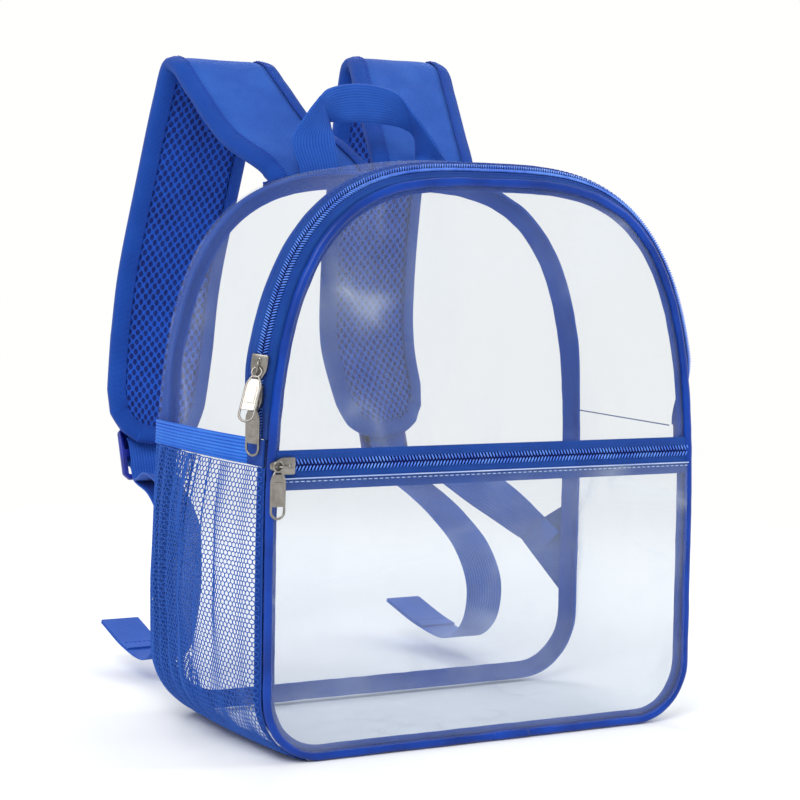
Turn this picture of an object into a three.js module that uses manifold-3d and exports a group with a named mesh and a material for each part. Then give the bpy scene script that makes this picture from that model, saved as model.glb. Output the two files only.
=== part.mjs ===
// A clear backpack with a rounded top, standing on its floor.
// Millimetres. X to the viewer's right, Y from the front panel to the wearer, Z up.
// The origin is on the floor, in the middle of the bag.
import * as THREE from 'three';
import Module from 'manifold-3d';

const wasm = await Module();
wasm.setup();

// Bag
const height = 305;
const frontWidth = 270;
const backWidth = 284;
const depth = 130;
const backRaise = 5;
const frontLean = 5;
const frontCorner = 34;
const backCorner = 41;
const archRise = 216;
const archPower = 3.3;
const seamHeight = 168;
const film = 1;
const gap = 0.3;

// Seams
const pipingWidth = 4.6;
const tapeThickness = 1.3;
const frontSeamWidth = 2.4;
const frontSeamDepth = 7;
const backSeamWidth = 9;
const backSeamDepth = 7;

// Main zip, on the wall close behind the piping
const zipTapeFront = 3.8;
const zipTapeBack = 6;
const zipTapeThickness = 1.2;
const coilWidth = 5.5;
const coilProud = 1;
const bendRise = 40;
const crownBend = 0.75;
const upperSliderHeight = 204;
const sliderPitch = 15;

// Front pocket
const pocketZipHeight = 155;
const pocketTapeAbove = 4.2;
const pocketTapeBelow = 10;
const pocketHem = 6.5;
const pocketRoom = 10;
const pocketSliderInset = 7.5;

// Slider and pull
const sliderLength = 13.5;
const sliderWidth = 9;
const sliderPlate = 1.4;
const bridgeLeg = 1.4;
const bridgeWidth = 2;
const bridgeBar = 1;
const tunnel = 2.3;
const pullLength = 31;
const pullWidth = 8.6;
const pullThickness = 1.3;
const eyeWidth = 4;
const eyeLength = 4.6;
const eyeWall = 1.3;
const upperPullTilt = 22;
const lowerPullTilt = 3;

// Side pocket
const netThickness = 1;
const netBulge = 14;
const elasticHeight = 14;
const elasticThickness = 1.6;

// Harness
const harnessShift = -7;
const strapWidth = 66;
const strapThickness = 8;
const strapEdge = 1.7;
const strapReach = 126;
const strapCrest = 66;
const strapDrop = 163;
const leftStrapSpread = 4;
const rightStrapRise = 7;
const strapTopSpread = 40;
const strapLowSpread = 83;
const bindingWidth = 8;
const bindingThickness = 1;
const webbingWidth = 25;
const webbingThickness = 1.4;
const webbingArch = [{ share: 0.3, rise: 5, turn: 0.7 }, { share: 0.65, rise: 9, turn: 1 }];
const lockWidth = 34;
const lockLength = 34;
const lockThickness = 3.5;
const lockBar = 6;
const lockRail = 3.5;
const lockStandOff = 12;
const lockTilt = 21;
const tailSpread = 103;
const tabHeight = 65;
const tabTop = 110;
const tabReach = 16;
const tabInset = 28;
const tabDrop = 26;
const tabLap = 13;
const haulWidth = 27;
const haulThickness = 2;
const haulRise = 55;
const haulSpan = 58;
const haulSewn = 15;

// How the wall leans out from the front seam above the side pocket: along is the distance
// from the seam in millimetres, tilt the angle in degrees away from straight back
const wallBend = [
  { along: 0, tilt: 60 },
  { along: 4, tilt: 58 },
  { along: 10, tilt: 38 },
  { along: 16, tilt: 8 },
  { along: 24, tilt: 0 },
];

// Side pocket net: how far down its height each row lies, and its share of netBulge
const netRows = [
  { down: 0, bulge: 0.5 },
  { down: 0.1, bulge: 0.7 },
  { down: 0.25, bulge: 0.9 },
  { down: 0.45, bulge: 1 },
  { down: 0.65, bulge: 1 },
  { down: 0.8, bulge: 0.85 },
];
const netCornerBulge = [0.76, 0.62, 0.42, 0.22, 0.08];

// Shoulder strap from its sewn end over the fold to its free end.
// reach is a share of strapReach, level of strapCrest above the seam or strapDrop below it,
// spread runs from strapTopSpread to strapLowSpread, wide and thick are shares of the strap
const strapRows = [
  { reach: 0, level: -0.03, spread: 0, wide: 1, thick: 0.8 },
  { reach: 0.015, level: 0.02, spread: 0, wide: 1, thick: 0.9 },
  { reach: 0.06, level: 0.17, spread: 0.04, wide: 1, thick: 1 },
  { reach: 0.2, level: 0.42, spread: 0.15, wide: 1, thick: 1 },
  { reach: 0.42, level: 0.79, spread: 0.33, wide: 1, thick: 1 },
  { reach: 0.565, level: 0.985, spread: 0.45, wide: 1, thick: 1 },
  { reach: 0.64, level: 1, spread: 0.46, wide: 1, thick: 1 },
  { reach: 0.72, level: 0.7, spread: 0.49, wide: 1, thick: 1 },
  { reach: 0.855, level: -0.03, spread: 0.57, wide: 1, thick: 1 },
  { reach: 0.975, level: -0.39, spread: 0.68, wide: 1, thick: 1 },
  { reach: 1, level: -0.63, spread: 0.74, wide: 1, thick: 1 },
  { reach: 0.95, level: -0.84, spread: 0.87, wide: 0.94, thick: 1 },
  { reach: 0.92, level: -0.925, spread: 0.94, wide: 0.82, thick: 0.85 },
  { reach: 0.895, level: -0.97, spread: 0.98, wide: 0.6, thick: 0.65 },
  { reach: 0.88, level: -1, spread: 1, wide: 0.26, thick: 0.45 },
];

// Haul loop from its left end to its right one: along is a share of haulSpan, rise of
// haulRise, lean of haulWidth, and the last three give the direction across the webbing
const haulRows = [
  { along: 0, rise: -0.27, lean: 0, x: 1, y: 0, z: 0 },
  { along: 0, rise: 0, lean: 0, x: 1, y: 0, z: 0 },
  { along: -0.1, rise: 0.13, lean: 0, x: 1, y: 0, z: 0 },
  { along: -0.16, rise: 0.36, lean: -0.03, x: 1, y: 0.05, z: -0.09 },
  { along: -0.12, rise: 0.53, lean: 0.08, x: 0.94, y: 0.32, z: -0.14 },
  { along: -0.05, rise: 0.655, lean: 0.2, x: 0.78, y: 0.54, z: -0.33 },
  { along: 0.035, rise: 0.74, lean: 0.3, x: 0.54, y: 0.64, z: -0.55 },
  { along: 0.175, rise: 0.78, lean: 0.32, x: 0.4, y: 0.49, z: -0.78 },
  { along: 0.38, rise: 0.8, lean: 0.33, x: 0.32, y: 0.42, z: -0.85 },
  { along: 0.61, rise: 0.8, lean: 0.34, x: 0.32, y: 0.45, z: -0.83 },
  { along: 0.82, rise: 0.775, lean: 0.35, x: 0.36, y: 0.57, z: -0.74 },
  { along: 0.97, rise: 0.725, lean: 0.34, x: 0.41, y: 0.68, z: -0.6 },
  { along: 1.05, rise: 0.65, lean: 0.3, x: 0.42, y: 0.74, z: -0.52 },
  { along: 1.09, rise: 0.55, lean: 0.16, x: 0.34, y: 0.72, z: -0.6 },
  { along: 1.1, rise: 0.42, lean: 0, x: -0.1, y: 0.6, z: -0.75 },
  { along: 1.07, rise: 0.28, lean: -0.06, x: -0.7, y: 0.3, z: -0.4 },
  { along: 1.03, rise: 0.13, lean: 0.02, x: -1, y: 0, z: 0 },
  { along: 1, rise: 0, lean: 0, x: -1, y: 0, z: 0 },
  { along: 1, rise: -0.27, lean: 0, x: -1, y: 0, z: 0 },
];

// Free tail of the strap webbing below the lock: out is the share of the way across from the
// lock to tailSpread, left and right are shares of strapReach on each side, level is a share
// of the lock's height
const tailRows = [
  { out: 0.05, left: 0.687, right: 0.687, level: 0.796 },
  { out: 0.2, left: 0.552, right: 0.528, level: 0.736 },
  { out: 0.35, left: 0.456, right: 0.401, level: 0.669 },
  { out: 0.55, left: 0.401, right: 0.242, level: 0.549 },
  { out: 0.72, left: 0.377, right: 0.179, level: 0.401 },
  { out: 0.85, left: 0.409, right: 0.234, level: 0.246 },
  { out: 0.92, left: 0.464, right: 0.345, level: 0.148 },
  { out: 0.96, left: 0.575, right: 0.488, level: 0.099 },
  { out: 1, left: 0.806, right: 0.774, level: 0.113 },
  { out: 1, left: 1.099, right: 1.099, level: 0.176 },
];

const lerp = THREE.MathUtils.lerp;
const radians = THREE.MathUtils.degToRad;
const v = (x, y, z) => new THREE.Vector3(x, y, z);

// A closed mesh through loops of points. The first half of a loop is one face of a sheet
// and the second half the other face, split along the same diagonals. Open lofts are
// capped by joining the two halves.
function loft(loops, closed = false) {
  const size = loops[0].length;
  const faces = [];
  const quad = (a, b, c, d) => faces.push(a, b, c, a, c, d);
  const spans = closed ? loops.length : loops.length - 1;
  for (let i = 0; i < spans; i++) {
    const row = i * size;
    const next = ((i + 1) % loops.length) * size;
    for (let j = 0; j < size; j++) {
      const k = (j + 1) % size;
      if (j < size / 2) quad(row + j, row + k, next + k, next + j);
      else quad(row + k, next + k, next + j, row + j);
    }
  }
  if (!closed) {
    const last = (loops.length - 1) * size;
    for (let j = 0; j < size / 2 - 1; j++) {
      const k = size - 1 - j;
      quad(j + 1, j, k, k - 1);
      quad(last + j, last + j + 1, last + k - 1, last + k);
    }
  }
  return facingOut(loops.flat().flatMap((p) => p.toArray()), faces);
}

// Turns the faces round if the solid they close comes out inside out
function facingOut(positions, faces) {
  const corner = (i) => v().fromArray(positions, 3 * faces[i]);
  let volume = 0;
  for (let i = 0; i < faces.length; i += 3) {
    volume += corner(i).dot(corner(i + 1).cross(corner(i + 2)));
  }
  const geometry = new THREE.BufferGeometry();
  geometry.setAttribute('position', new THREE.Float32BufferAttribute(positions, 3));
  geometry.setIndex(volume < 0 ? [...faces].reverse() : faces);
  return geometry;
}

// Outline of a panel, right half: corner on the floor, straight side, arch to the crown
const cornerSteps = 6;
const sideSteps = 3;
const archSteps = 15;
const seamStation = cornerSteps + sideSteps;
const crown = seamStation + archSteps;

function halfOutline(width, top, corner) {
  const half = width / 2;
  const spring = top - archRise;
  const stations = [];
  for (let i = 0; i <= cornerSteps; i++) {
    const angle = (i / cornerSteps) * Math.PI / 2;
    const nx = Math.sin(angle);
    const nz = -Math.cos(angle);
    stations.push({ x: half - corner + corner * nx, z: corner + corner * nz, nx, nz });
  }
  const sideAt = (z) => {
    const share = Math.max(0, (z - spring) / archRise);
    const x = Math.pow(1 - Math.pow(share, archPower), 1 / archPower);
    const normal = new THREE.Vector2(
      Math.pow(x, archPower - 1) / half,
      Math.pow(share, archPower - 1) / archRise,
    ).normalize();
    return { x: half * x, z, nx: normal.x, nz: normal.y };
  };
  for (let i = 1; i <= sideSteps; i++) {
    stations.push(sideAt(lerp(corner, seamHeight, i / sideSteps)));
  }
  const seamShare = Math.max(0, (seamHeight - spring) / archRise);
  const start = Math.asin(Math.pow(seamShare, archPower / 2));
  for (let i = 1; i < archSteps; i++) {
    const angle = lerp(start, Math.PI / 2, i / archSteps);
    stations.push(sideAt(spring + archRise * Math.pow(Math.sin(angle), 2 / archPower)));
  }
  stations.push({ x: 0, z: top, nx: 0, nz: 1 });
  return stations;
}

const frontHalf = halfOutline(frontWidth, height, frontCorner);
const backHalf = halfOutline(backWidth, height + backRaise, backCorner);

// A place between two stations of a half outline
function between(half, station) {
  const low = Math.min(Math.floor(station), crown - 1);
  const share = station - low;
  const mix = (key) => lerp(half[low][key], half[low + 1][key], share);
  return { x: mix('x'), z: mix('z'), nx: mix('nx'), nz: mix('nz') };
}

// The station of the front outline at a height above its corner
function stationAt(z) {
  let low = cornerSteps;
  while (low < crown - 1 && frontHalf[low + 1].z < z) low++;
  return low + (z - frontHalf[low].z) / (frontHalf[low + 1].z - frontHalf[low].z);
}

const frontFace = (z) => -depth / 2 + frontLean * z / height;
const wallStart = pipingWidth / 2 + gap;

// Tilt of the wall at a distance along it from the front seam, in radians
function bendAt(along) {
  const next = wallBend.findIndex((row) => row.along > along);
  if (next < 1) return along < 0 ? 0 : radians(wallBend.at(-1).tilt);
  const [from, to] = [wallBend[next - 1], wallBend[next]];
  return radians(lerp(from.tilt, to.tilt, (along - from.along) / (to.along - from.along)));
}

// The wall's section at a height: where a distance along it lies behind the front face and
// out from the line between the seams. It leans out by the zip and comes back to the seam
// at the back panel. bend is the share of the tilt at that height
function wallSection(along, bend) {
  const end = wallBend.at(-1).along;
  const run = Math.min(along - wallStart, end);
  if (run <= 0) return { behind: along, out: 0, tilt: 0 };
  const steps = 16;
  let behind = wallStart;
  let out = 0;
  for (let i = 0; i < steps; i++) {
    const tilt = bend * bendAt((i + 0.5) / steps * run);
    behind += Math.cos(tilt) * run / steps;
    out += Math.sin(tilt) * run / steps;
  }
  const share = Math.max(0, (along - wallStart - end) / (depth - wallStart - end));
  return { behind: lerp(behind, depth, share), out: out * (1 - share ** 2), tilt: bend * bendAt(run) };
}

function bendShare(z) {
  const rise = THREE.MathUtils.smoothstep(z, seamHeight, seamHeight + bendRise);
  return rise * lerp(1, crownBend, THREE.MathUtils.smoothstep(z, seamHeight + bendRise, height));
}

// A point on the bag's wall: along is the distance from the front face along the wall, and
// inward the distance in from the wall's outer face. side is 1 on the right, -1 on the left.
// A straight point ignores the wall's bend
function wall({ station, side }, along, inward = 0, straight = false) {
  const front = between(frontHalf, station);
  const back = between(backHalf, station);
  const bent = wallSection(along, straight ? 0 : bendShare(front.z));
  const out = bent.out - inward * Math.cos(bent.tilt);
  const behind = bent.behind + inward * Math.sin(bent.tilt);
  const share = behind / depth;
  return v(
    side * (lerp(front.x, back.x, share) + lerp(front.nx, back.nx, share) * out),
    lerp(frontFace(front.z), depth / 2, share),
    lerp(front.z, back.z, share) + lerp(front.nz, back.nz, share) * out,
  );
}

// Runs of stations round the bag
const count = (from, to) => Array.from({ length: to - from + 1 }, (_, i) => from + i);
const onRight = (station) => ({ station, side: 1 });
const onLeft = (station) => ({ station, side: -1 });
const aboveSeam = stationAt(seamHeight + gap / 2);
const belowSeam = stationAt(seamHeight - gap / 2);
const wholeRing = [...count(0, crown).map(onRight), ...count(0, crown - 1).reverse().map(onLeft)];
const upperStations = [aboveSeam, ...count(seamStation + 1, crown)];
const upperRun = [
  ...upperStations.map(onRight),
  ...upperStations.slice(0, -1).reverse().map(onLeft),
];
const lowerStations = [...count(0, seamStation - 1), belowSeam];
const lowerRun = [...[...lowerStations].reverse().map(onLeft), ...lowerStations.map(onRight)];

// A band of one section along a run of the wall. The section's corners are
// [along, inward, straight] in order round it
function band(run, section, closed = false) {
  return loft(run.map((place) => section.map((corner) => wall(place, ...corner))), closed);
}

// The section of a sheet on the wall, through several distances behind the front face
function sheetSection(behinds, outer, thickness) {
  return [
    ...behinds.map((b) => [b, outer]),
    ...[...behinds].reverse().map((b) => [b, outer + thickness]),
  ];
}

// Materials
function finish(color, roughness, metalness = 0, opacity = 1) {
  return new THREE.MeshStandardMaterial({
    color, roughness, metalness, opacity, transparent: opacity < 1, side: THREE.DoubleSide,
  });
}
const clearFilm = finish(0xe8eaf0, 0.08, 0, 0.25);
const blueVinyl = finish(0x143cbe, 0.3);
const blueTape = finish(0x1946a5, 0.75);
const blueTwill = finish(0x3c69c8, 0.85);
const blueMesh = finish(0x1e4bb4, 0.9);
const bluePlastic = finish(0x1b2f9a, 0.35);
const nickel = finish(0xb9b4ac, 0.25, 1);

const bag = new THREE.Group();

function add(parent, name, geometry, material) {
  const mesh = new THREE.Mesh(geometry, material);
  mesh.name = name;
  parent.add(mesh);
  return mesh;
}

// Distances behind the front face of the main zip's pieces and the film behind it
const frontTapeEnd = wallStart + zipTapeFront;
const coilStart = frontTapeEnd + gap;
const coilEnd = coilStart + coilWidth;
const coilMiddle = (coilStart + coilEnd) / 2;
const backTapeStart = coilEnd + gap;
const backTapeEnd = backTapeStart + zipTapeBack;
const filmStart = backTapeEnd + gap;
const backFilm = depth - film;
const filmEnd = backFilm - gap;

// Films of the bag
function addWalls() {
  const topBehinds = [filmStart, filmStart + 7, depth * 0.42, depth * 0.75, filmEnd - backSeamDepth, filmEnd];
  const bottomBehinds = [wallStart, depth / 2, filmEnd];
  add(bag, 'gusset_top', band(upperRun, sheetSection(topBehinds, 0, film)), clearFilm);
  add(bag, 'gusset_bottom', band(lowerRun, sheetSection(bottomBehinds, 0, film)), clearFilm);
}

// A flat panel across the bag through pairs of stations, bowed back by bow(across, z)
function panel(stations, inset, behind, thickness, columns = 1, bow = () => 0) {
  const row = (station, b) => {
    const left = wall(onLeft(station), b, inset);
    const right = wall(onRight(station), b, inset);
    return count(0, columns).map((i) => {
      const point = left.clone().lerp(right, i / columns);
      point.y += bow(2 * i / columns - 1, point.z);
      return point;
    });
  };
  return loft(stations.map((s) => [...row(s, behind), ...row(s, behind + thickness).reverse()]));
}

// The front panel runs down behind the pocket and bows back to give it room
const filmInset = pipingWidth + gap;
const frontFilm = 0.6;
const tapeLayer = frontFilm - gap - zipTapeThickness;
const pocketFilm = tapeLayer - gap - film;
const coilLow = pocketZipHeight - coilWidth / 2;
const coilHigh = pocketZipHeight + coilWidth / 2;
const pocketHemHeight = coilLow - gap - pocketTapeBelow + pocketHem;

function addPanels() {
  const bow = (across, z) => {
    const low = filmInset + frontSeamDepth;
    const up = THREE.MathUtils.clamp((z - low) / (pocketHemHeight - low), 0, 1);
    return pocketRoom * (1 - across ** 2) ** 2 * Math.sin(Math.PI * up) ** 2;
  };
  add(bag, 'front_panel', panel(count(0, crown - 1), filmInset, frontFilm, film, 6, bow), clearFilm);
  const pocketTop = stationAt(pocketHemHeight);
  const pocketStations = [...count(0, Math.ceil(pocketTop) - 1), pocketTop];
  add(bag, 'pocket_panel', panel(pocketStations, filmInset, pocketFilm, film), clearFilm);
  add(bag, 'back_panel', panel(count(0, crown - 1), 0, backFilm, film), clearFilm);
}

// Piping round the front seam, and the seam tapes folded inside both seams
function addSeams() {
  const radius = pipingWidth / 2;
  const circle = count(0, 7).map((i) => {
    const angle = i / 8 * 2 * Math.PI;
    return [radius * Math.sin(angle), radius - radius * Math.cos(angle)];
  });
  add(bag, 'front_piping', band(wholeRing, circle, true), blueVinyl);
  const seamFace = frontFilm + film + gap;
  const wallInner = zipTapeThickness + 4 * gap;
  const frontSeam = [
    [seamFace, filmInset + gap, true],
    [seamFace, filmInset + gap + frontSeamWidth, true],
    [seamFace + tapeThickness, filmInset + gap + frontSeamWidth, true],
    [wallStart + frontSeamDepth, wallInner + tapeThickness],
    [wallStart + frontSeamDepth, wallInner],
    [wallStart + 2 * gap, wallInner],
  ];
  add(bag, 'front_seam_tape', band(wholeRing, frontSeam, true), blueTape);
  const backWall = film + 3 * gap;
  const backSeam = [
    [filmEnd, backWall],
    [filmEnd, backWall + backSeamWidth],
    [filmEnd - tapeThickness, backWall + backSeamWidth],
    [filmEnd - tapeThickness, backWall + tapeThickness],
    [filmEnd - backSeamDepth, backWall + tapeThickness],
    [filmEnd - backSeamDepth, backWall],
  ];
  add(bag, 'back_seam_tape', band(wholeRing, backSeam, true), blueTape);
}

// Main zip over the arch
function coilSection(start, end, proud, base) {
  const chamfer = (end - start) / 5;
  return [
    [start, 0], [start + chamfer, -proud], [end - chamfer, -proud],
    [end, 0], [end, base], [start, base],
  ];
}

function addMainZip() {
  const frontBehinds = [wallStart, (wallStart + frontTapeEnd) / 2, frontTapeEnd];
  const frontTape = sheetSection(frontBehinds, 0, zipTapeThickness);
  const backTape = sheetSection([backTapeStart, backTapeEnd], 0, zipTapeThickness);
  add(bag, 'main_zip_tape_front', band(upperRun, frontTape), blueTape);
  add(bag, 'main_zip_tape_back', band(upperRun, backTape), blueTape);
  const coil = coilSection(coilStart, coilEnd, coilProud, zipTapeThickness);
  add(bag, 'main_zip_coil', band(upperRun, coil), blueTape);
}

// Fabric patches over the ends of the main zip
function addZipEnds() {
  const behinds = [wallStart + gap, filmStart + gap];
  const stations = [stationAt(seamHeight - elasticHeight), belowSeam];
  for (const [name, side] of [['zip_end_left', -1], ['zip_end_right', 1]]) {
    const run = stations.map((station) => ({ station, side }));
    const section = sheetSection(behinds, -gap - tapeThickness, tapeThickness);
    add(bag, name, band(run, section), blueTape);
  }
}

// A flat strip across the front at a distance behind the front face
function frontStrip(low, high, section, inset) {
  const ends = [low, high].map((z) => stationAt(z));
  const half = Math.min(...ends.map((s) => wall(onRight(s), 0, inset).x));
  const side = (x) => section.map(([z, b]) => v(x, frontFace(z) + b, z));
  return loft([side(-half), side(half)]);
}

// Pocket zip across the front
function addPocketZip() {
  const strip = (low, high) => [
    [low, tapeLayer], [low, tapeLayer + zipTapeThickness],
    [high, tapeLayer + zipTapeThickness], [high, tapeLayer],
  ];
  const upper = [coilHigh + gap, coilHigh + gap + pocketTapeAbove];
  const lower = [coilLow - gap - pocketTapeBelow, coilLow - gap];
  add(bag, 'pocket_zip_tape_upper', frontStrip(...upper, strip(...upper), filmInset), blueTape);
  add(bag, 'pocket_zip_tape_lower', frontStrip(...lower, strip(...lower), filmInset), blueTape);
  const coil = coilSection(coilLow, coilHigh, coilProud, zipTapeThickness);
  const section = coil.map(([z, inward]) => [z, tapeLayer + inward]);
  add(bag, 'pocket_zip_coil', frontStrip(coilLow, coilHigh, section, filmInset), blueTape);
}

// Solids for joining and cutting
function solid(geometry) {
  const { position } = geometry.attributes;
  const keys = new Map();
  const points = [];
  const order = geometry.index ? [...geometry.index.array] : count(0, position.count - 1);
  const corners = order.map((i) => {
    const point = [position.getX(i), position.getY(i), position.getZ(i)];
    const key = point.map((value) => value.toFixed(4)).join(' ');
    if (!keys.has(key)) {
      keys.set(key, keys.size);
      points.push(...point);
    }
    return keys.get(key);
  });
  const mesh = { numProp: 3, vertProperties: new Float32Array(points), triVerts: new Uint32Array(corners) };
  return new wasm.Manifold(new wasm.Mesh(mesh));
}

function joined(geometries, cuts = []) {
  const sum = geometries.map(solid).reduce((whole, part) => whole.add(part));
  const whole = cuts.map(solid).reduce((rest, part) => rest.subtract(part), sum);
  const { vertProperties, triVerts } = whole.getMesh();
  return facingOut([...vertProperties], [...triVerts]);
}

function block(x, y, z, size) {
  return new THREE.BoxGeometry(...size).translate(x, y, z);
}

// Zip slider in its own frame: X along the zip, Y across it, Z away from the coil.
// Its plate lies over the coil, with a cheek each side and a bridge for the pull
const plateBase = coilProud + gap + 0.65;
const plateTop = plateBase + sliderPlate;
const bridgeTop = plateTop + tunnel + bridgeBar;
const pivotHeight = plateTop + tunnel / 2;
const legPlace = sliderLength * 0.28;

function sliderGeometry() {
  const half = sliderLength / 2;
  const side = sliderWidth / 2;
  const outline = new THREE.Shape();
  outline.moveTo(half, -side);
  outline.lineTo(half, side);
  outline.lineTo(-half * 0.25, side * 0.96);
  outline.lineTo(-half, side * 0.45);
  outline.lineTo(-half, -side * 0.45);
  outline.lineTo(-half * 0.25, -side * 0.96);
  const plate = new THREE.ExtrudeGeometry(outline, { depth: sliderPlate, bevelEnabled: false });
  plate.translate(0, 0, plateBase);
  const cheekHeight = plateBase - gap;
  const cheek = (y) => block(half / 2, y, gap + cheekHeight / 2 + sliderPlate / 4,
    [half * 0.9, sliderPlate / 2, cheekHeight + sliderPlate / 2]);
  const legHeight = tunnel + bridgeBar + sliderPlate / 2;
  const leg = (x) => block(x, 0, bridgeTop - legHeight / 2, [bridgeLeg, bridgeWidth, legHeight]);
  const bar = block(0, 0, bridgeTop - bridgeBar / 2,
    [2 * legPlace + bridgeLeg, bridgeWidth, bridgeBar]);
  const cheekPlace = side - sliderPlate / 4;
  return joined([plate, cheek(cheekPlace), cheek(-cheekPlace), leg(legPlace), leg(-legPlace), bar]);
}

// Pull in its own frame: it hangs along -Y from the middle of its cross bar, X across it
const pullEye = eyeWall / 2 + eyeWidth / 2;

function pullGeometry() {
  const ring = eyeWidth / 2 + eyeWall;
  const half = pullWidth / 2;
  const end = -pullLength + eyeWall / 2;
  const outline = new THREE.Shape();
  outline.absarc(0, -pullEye, ring, 0, Math.PI, false);
  outline.lineTo(-ring, -pullEye - eyeWidth / 2);
  outline.lineTo(-half, -pullEye - 2 * ring);
  outline.lineTo(-half, end + half);
  outline.absarc(0, end + half, half, Math.PI, 2 * Math.PI, false);
  outline.lineTo(half, -pullEye - 2 * ring);
  outline.lineTo(ring, -pullEye - eyeWidth / 2);
  outline.closePath();
  const eye = new THREE.Path();
  eye.absarc(0, -pullEye, eyeWidth / 2, Math.PI, 0, true);
  eye.lineTo(eyeWidth / 2, -eyeWall / 2 - eyeLength);
  eye.lineTo(-eyeWidth / 2, -eyeWall / 2 - eyeLength);
  eye.closePath();
  const hole = new THREE.Path();
  hole.absellipse(0, end + half, half * 0.62, half * 0.5, 0, 2 * Math.PI, true);
  outline.holes.push(eye, hole);
  const options = { depth: pullThickness, bevelEnabled: false, curveSegments: 6 };
  const tab = new THREE.ExtrudeGeometry(outline, options).translate(0, 0, -pullThickness / 2);
  return joined([tab]);
}

// A slider on the left run of the main zip, in a group that follows the wall, with its
// pull hanging down along the zip and tilted away from it
function addMainSlider(name, z, tilt) {
  const place = (high, shift) => wall(onLeft(stationAt(high)), coilMiddle + shift * sliderWidth / 2);
  const up = place(z + sliderLength / 2, 0).sub(place(z - sliderLength / 2, 0)).normalize();
  const across = place(z, 1).sub(place(z, -1));
  across.addScaledVector(up, -up.dot(across)).normalize();
  const away = v().crossVectors(up, across);
  const seat = new THREE.Group();
  seat.quaternion.setFromRotationMatrix(new THREE.Matrix4().makeBasis(up, across, away));
  seat.position.copy(place(z, 0));
  bag.add(seat);
  add(seat, `main_slider_${name}`, sliderGeometry(), nickel);
  const pull = add(seat, `main_pull_${name}`, pullGeometry(), nickel);
  pull.position.z = pivotHeight;
  pull.rotation.set(0, radians(tilt), radians(-90), 'YZX');
}

// The pocket slider lies along the zip, and its pull hangs on the bridge's outer leg
function addPocketSlider() {
  const seat = new THREE.Group();
  const place = (s) => wall(onLeft(stationAt(s)), 0, pocketSliderInset);
  seat.position.set(place(pocketZipHeight).x, frontFace(pocketZipHeight) + tapeLayer, pocketZipHeight);
  seat.rotation.x = radians(90);
  bag.add(seat);
  add(seat, 'pocket_slider', sliderGeometry(), nickel);
  const pull = add(seat, 'pocket_pull', pullGeometry(), nickel);
  pull.position.set(-legPlace, pullEye, pivotHeight);
}

// Side pocket on the left: a net that bulges from the wall, under a band of elastic
function addSidePocket() {
  const netTop = seamHeight - elasticHeight - gap;
  const base = gap;
  const columns = 9;
  const across = (from, to) => count(0, columns).map((i) => lerp(from, to, i / columns));
  const rows = [
    ...netRows.map((row) => ({ station: stationAt(lerp(netTop, frontCorner, row.down)), bulge: row.bulge })),
    ...netCornerBulge.map((bulge, i) => ({ station: cornerSteps - i, bulge })),
    { station: 1.5, bulge: 0 },
  ];
  const netRow = ({ station, bulge }, layer) => across(wallStart + gap, filmEnd).map((b) => {
    const share = (b - wallStart) / (filmEnd - wallStart);
    const out = netBulge * bulge * Math.pow(Math.sin(Math.PI * Math.min(share, 1)) + 1e-9, 0.6);
    return wall(onLeft(station), b, -base - out - layer);
  });
  const net = rows.map((row) => [...netRow(row, 0), ...netRow(row, netThickness).reverse()]);
  add(bag, 'side_pocket_net', loft(net), blueMesh);
  const elasticRun = [netTop + gap, seamHeight - gap / 2].map((z) => onLeft(stationAt(z)));
  const start = filmStart + 2 * gap;
  const behinds = across(start, filmEnd);
  const sag = (b) => base + netBulge * netRows[0].bulge
    * Math.pow(Math.sin(Math.PI * (b - start) / (filmEnd - start)) + 1e-9, 0.6) * 0.5;
  const section = [
    ...behinds.map((b) => [b, -sag(b)]),
    ...[...behinds].reverse().map((b) => [b, -sag(b) - elasticThickness]),
  ];
  add(bag, 'side_pocket_elastic', band(elasticRun, section), blueTape);
}

// Frames along a path through rows of { point, across }: points on a smooth curve, each with
// the direction along it, the direction across it and the one out of its face
function frames(rows, steps) {
  const curve = new THREE.CatmullRomCurve3(rows.map((row) => row.point), false, 'centripetal');
  return count(0, steps).map((i) => {
    const t = i / steps;
    const index = Math.min(Math.floor(t * (rows.length - 1)), rows.length - 2);
    const share = t * (rows.length - 1) - index;
    const along = curve.getTangent(t);
    const across = rows[index].across.clone().lerp(rows[index + 1].across, share);
    across.addScaledVector(along, -along.dot(across)).normalize();
    return { point: curve.getPoint(t), along, across, out: v().crossVectors(across, along), index, share };
  });
}

// A ribbon of webbing through the frames
function ribbon(list, width, thickness) {
  const corners = [[-0.5, -0.5], [0.5, -0.5], [0.5, 0.5], [-0.5, 0.5]];
  return loft(list.map(({ point, across, out }) => corners.map(([a, b]) => point.clone()
    .addScaledVector(across, a * width).addScaledVector(out, b * thickness))));
}

// Places of the harness in the bag's frame
const backFace = depth / 2;
const haulBack = backFace + gap + haulThickness / 2;
const bindingInner = strapThickness / 2 + 3 * gap;
const strapBack = haulBack + haulThickness / 2 + gap + bindingInner + bindingThickness;
const backTop = height + backRaise;

const lowSpread = (side) => strapLowSpread + (side < 0 ? leftStrapSpread : 0);
const crest = (side) => strapCrest + (side > 0 ? rightStrapRise : 0);

function strapFrames(side) {
  const mixed = (key, index, share) => lerp(strapRows[index][key], strapRows[index + 1][key], share);
  const rows = strapRows.map((row) => ({
    point: v(
      harnessShift + side * lerp(strapTopSpread, lowSpread(side), row.spread),
      strapBack + row.reach * strapReach,
      height + row.level * (row.level > 0 ? crest(side) : strapDrop),
    ),
    across: v(1, 0, 0),
  }));
  return frames(rows, 34).map((frame) => ({
    ...frame,
    half: mixed('wide', frame.index, frame.share) * strapWidth / 2,
    thick: mixed('thick', frame.index, frame.share) * strapThickness / 2,
  }));
}

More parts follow.
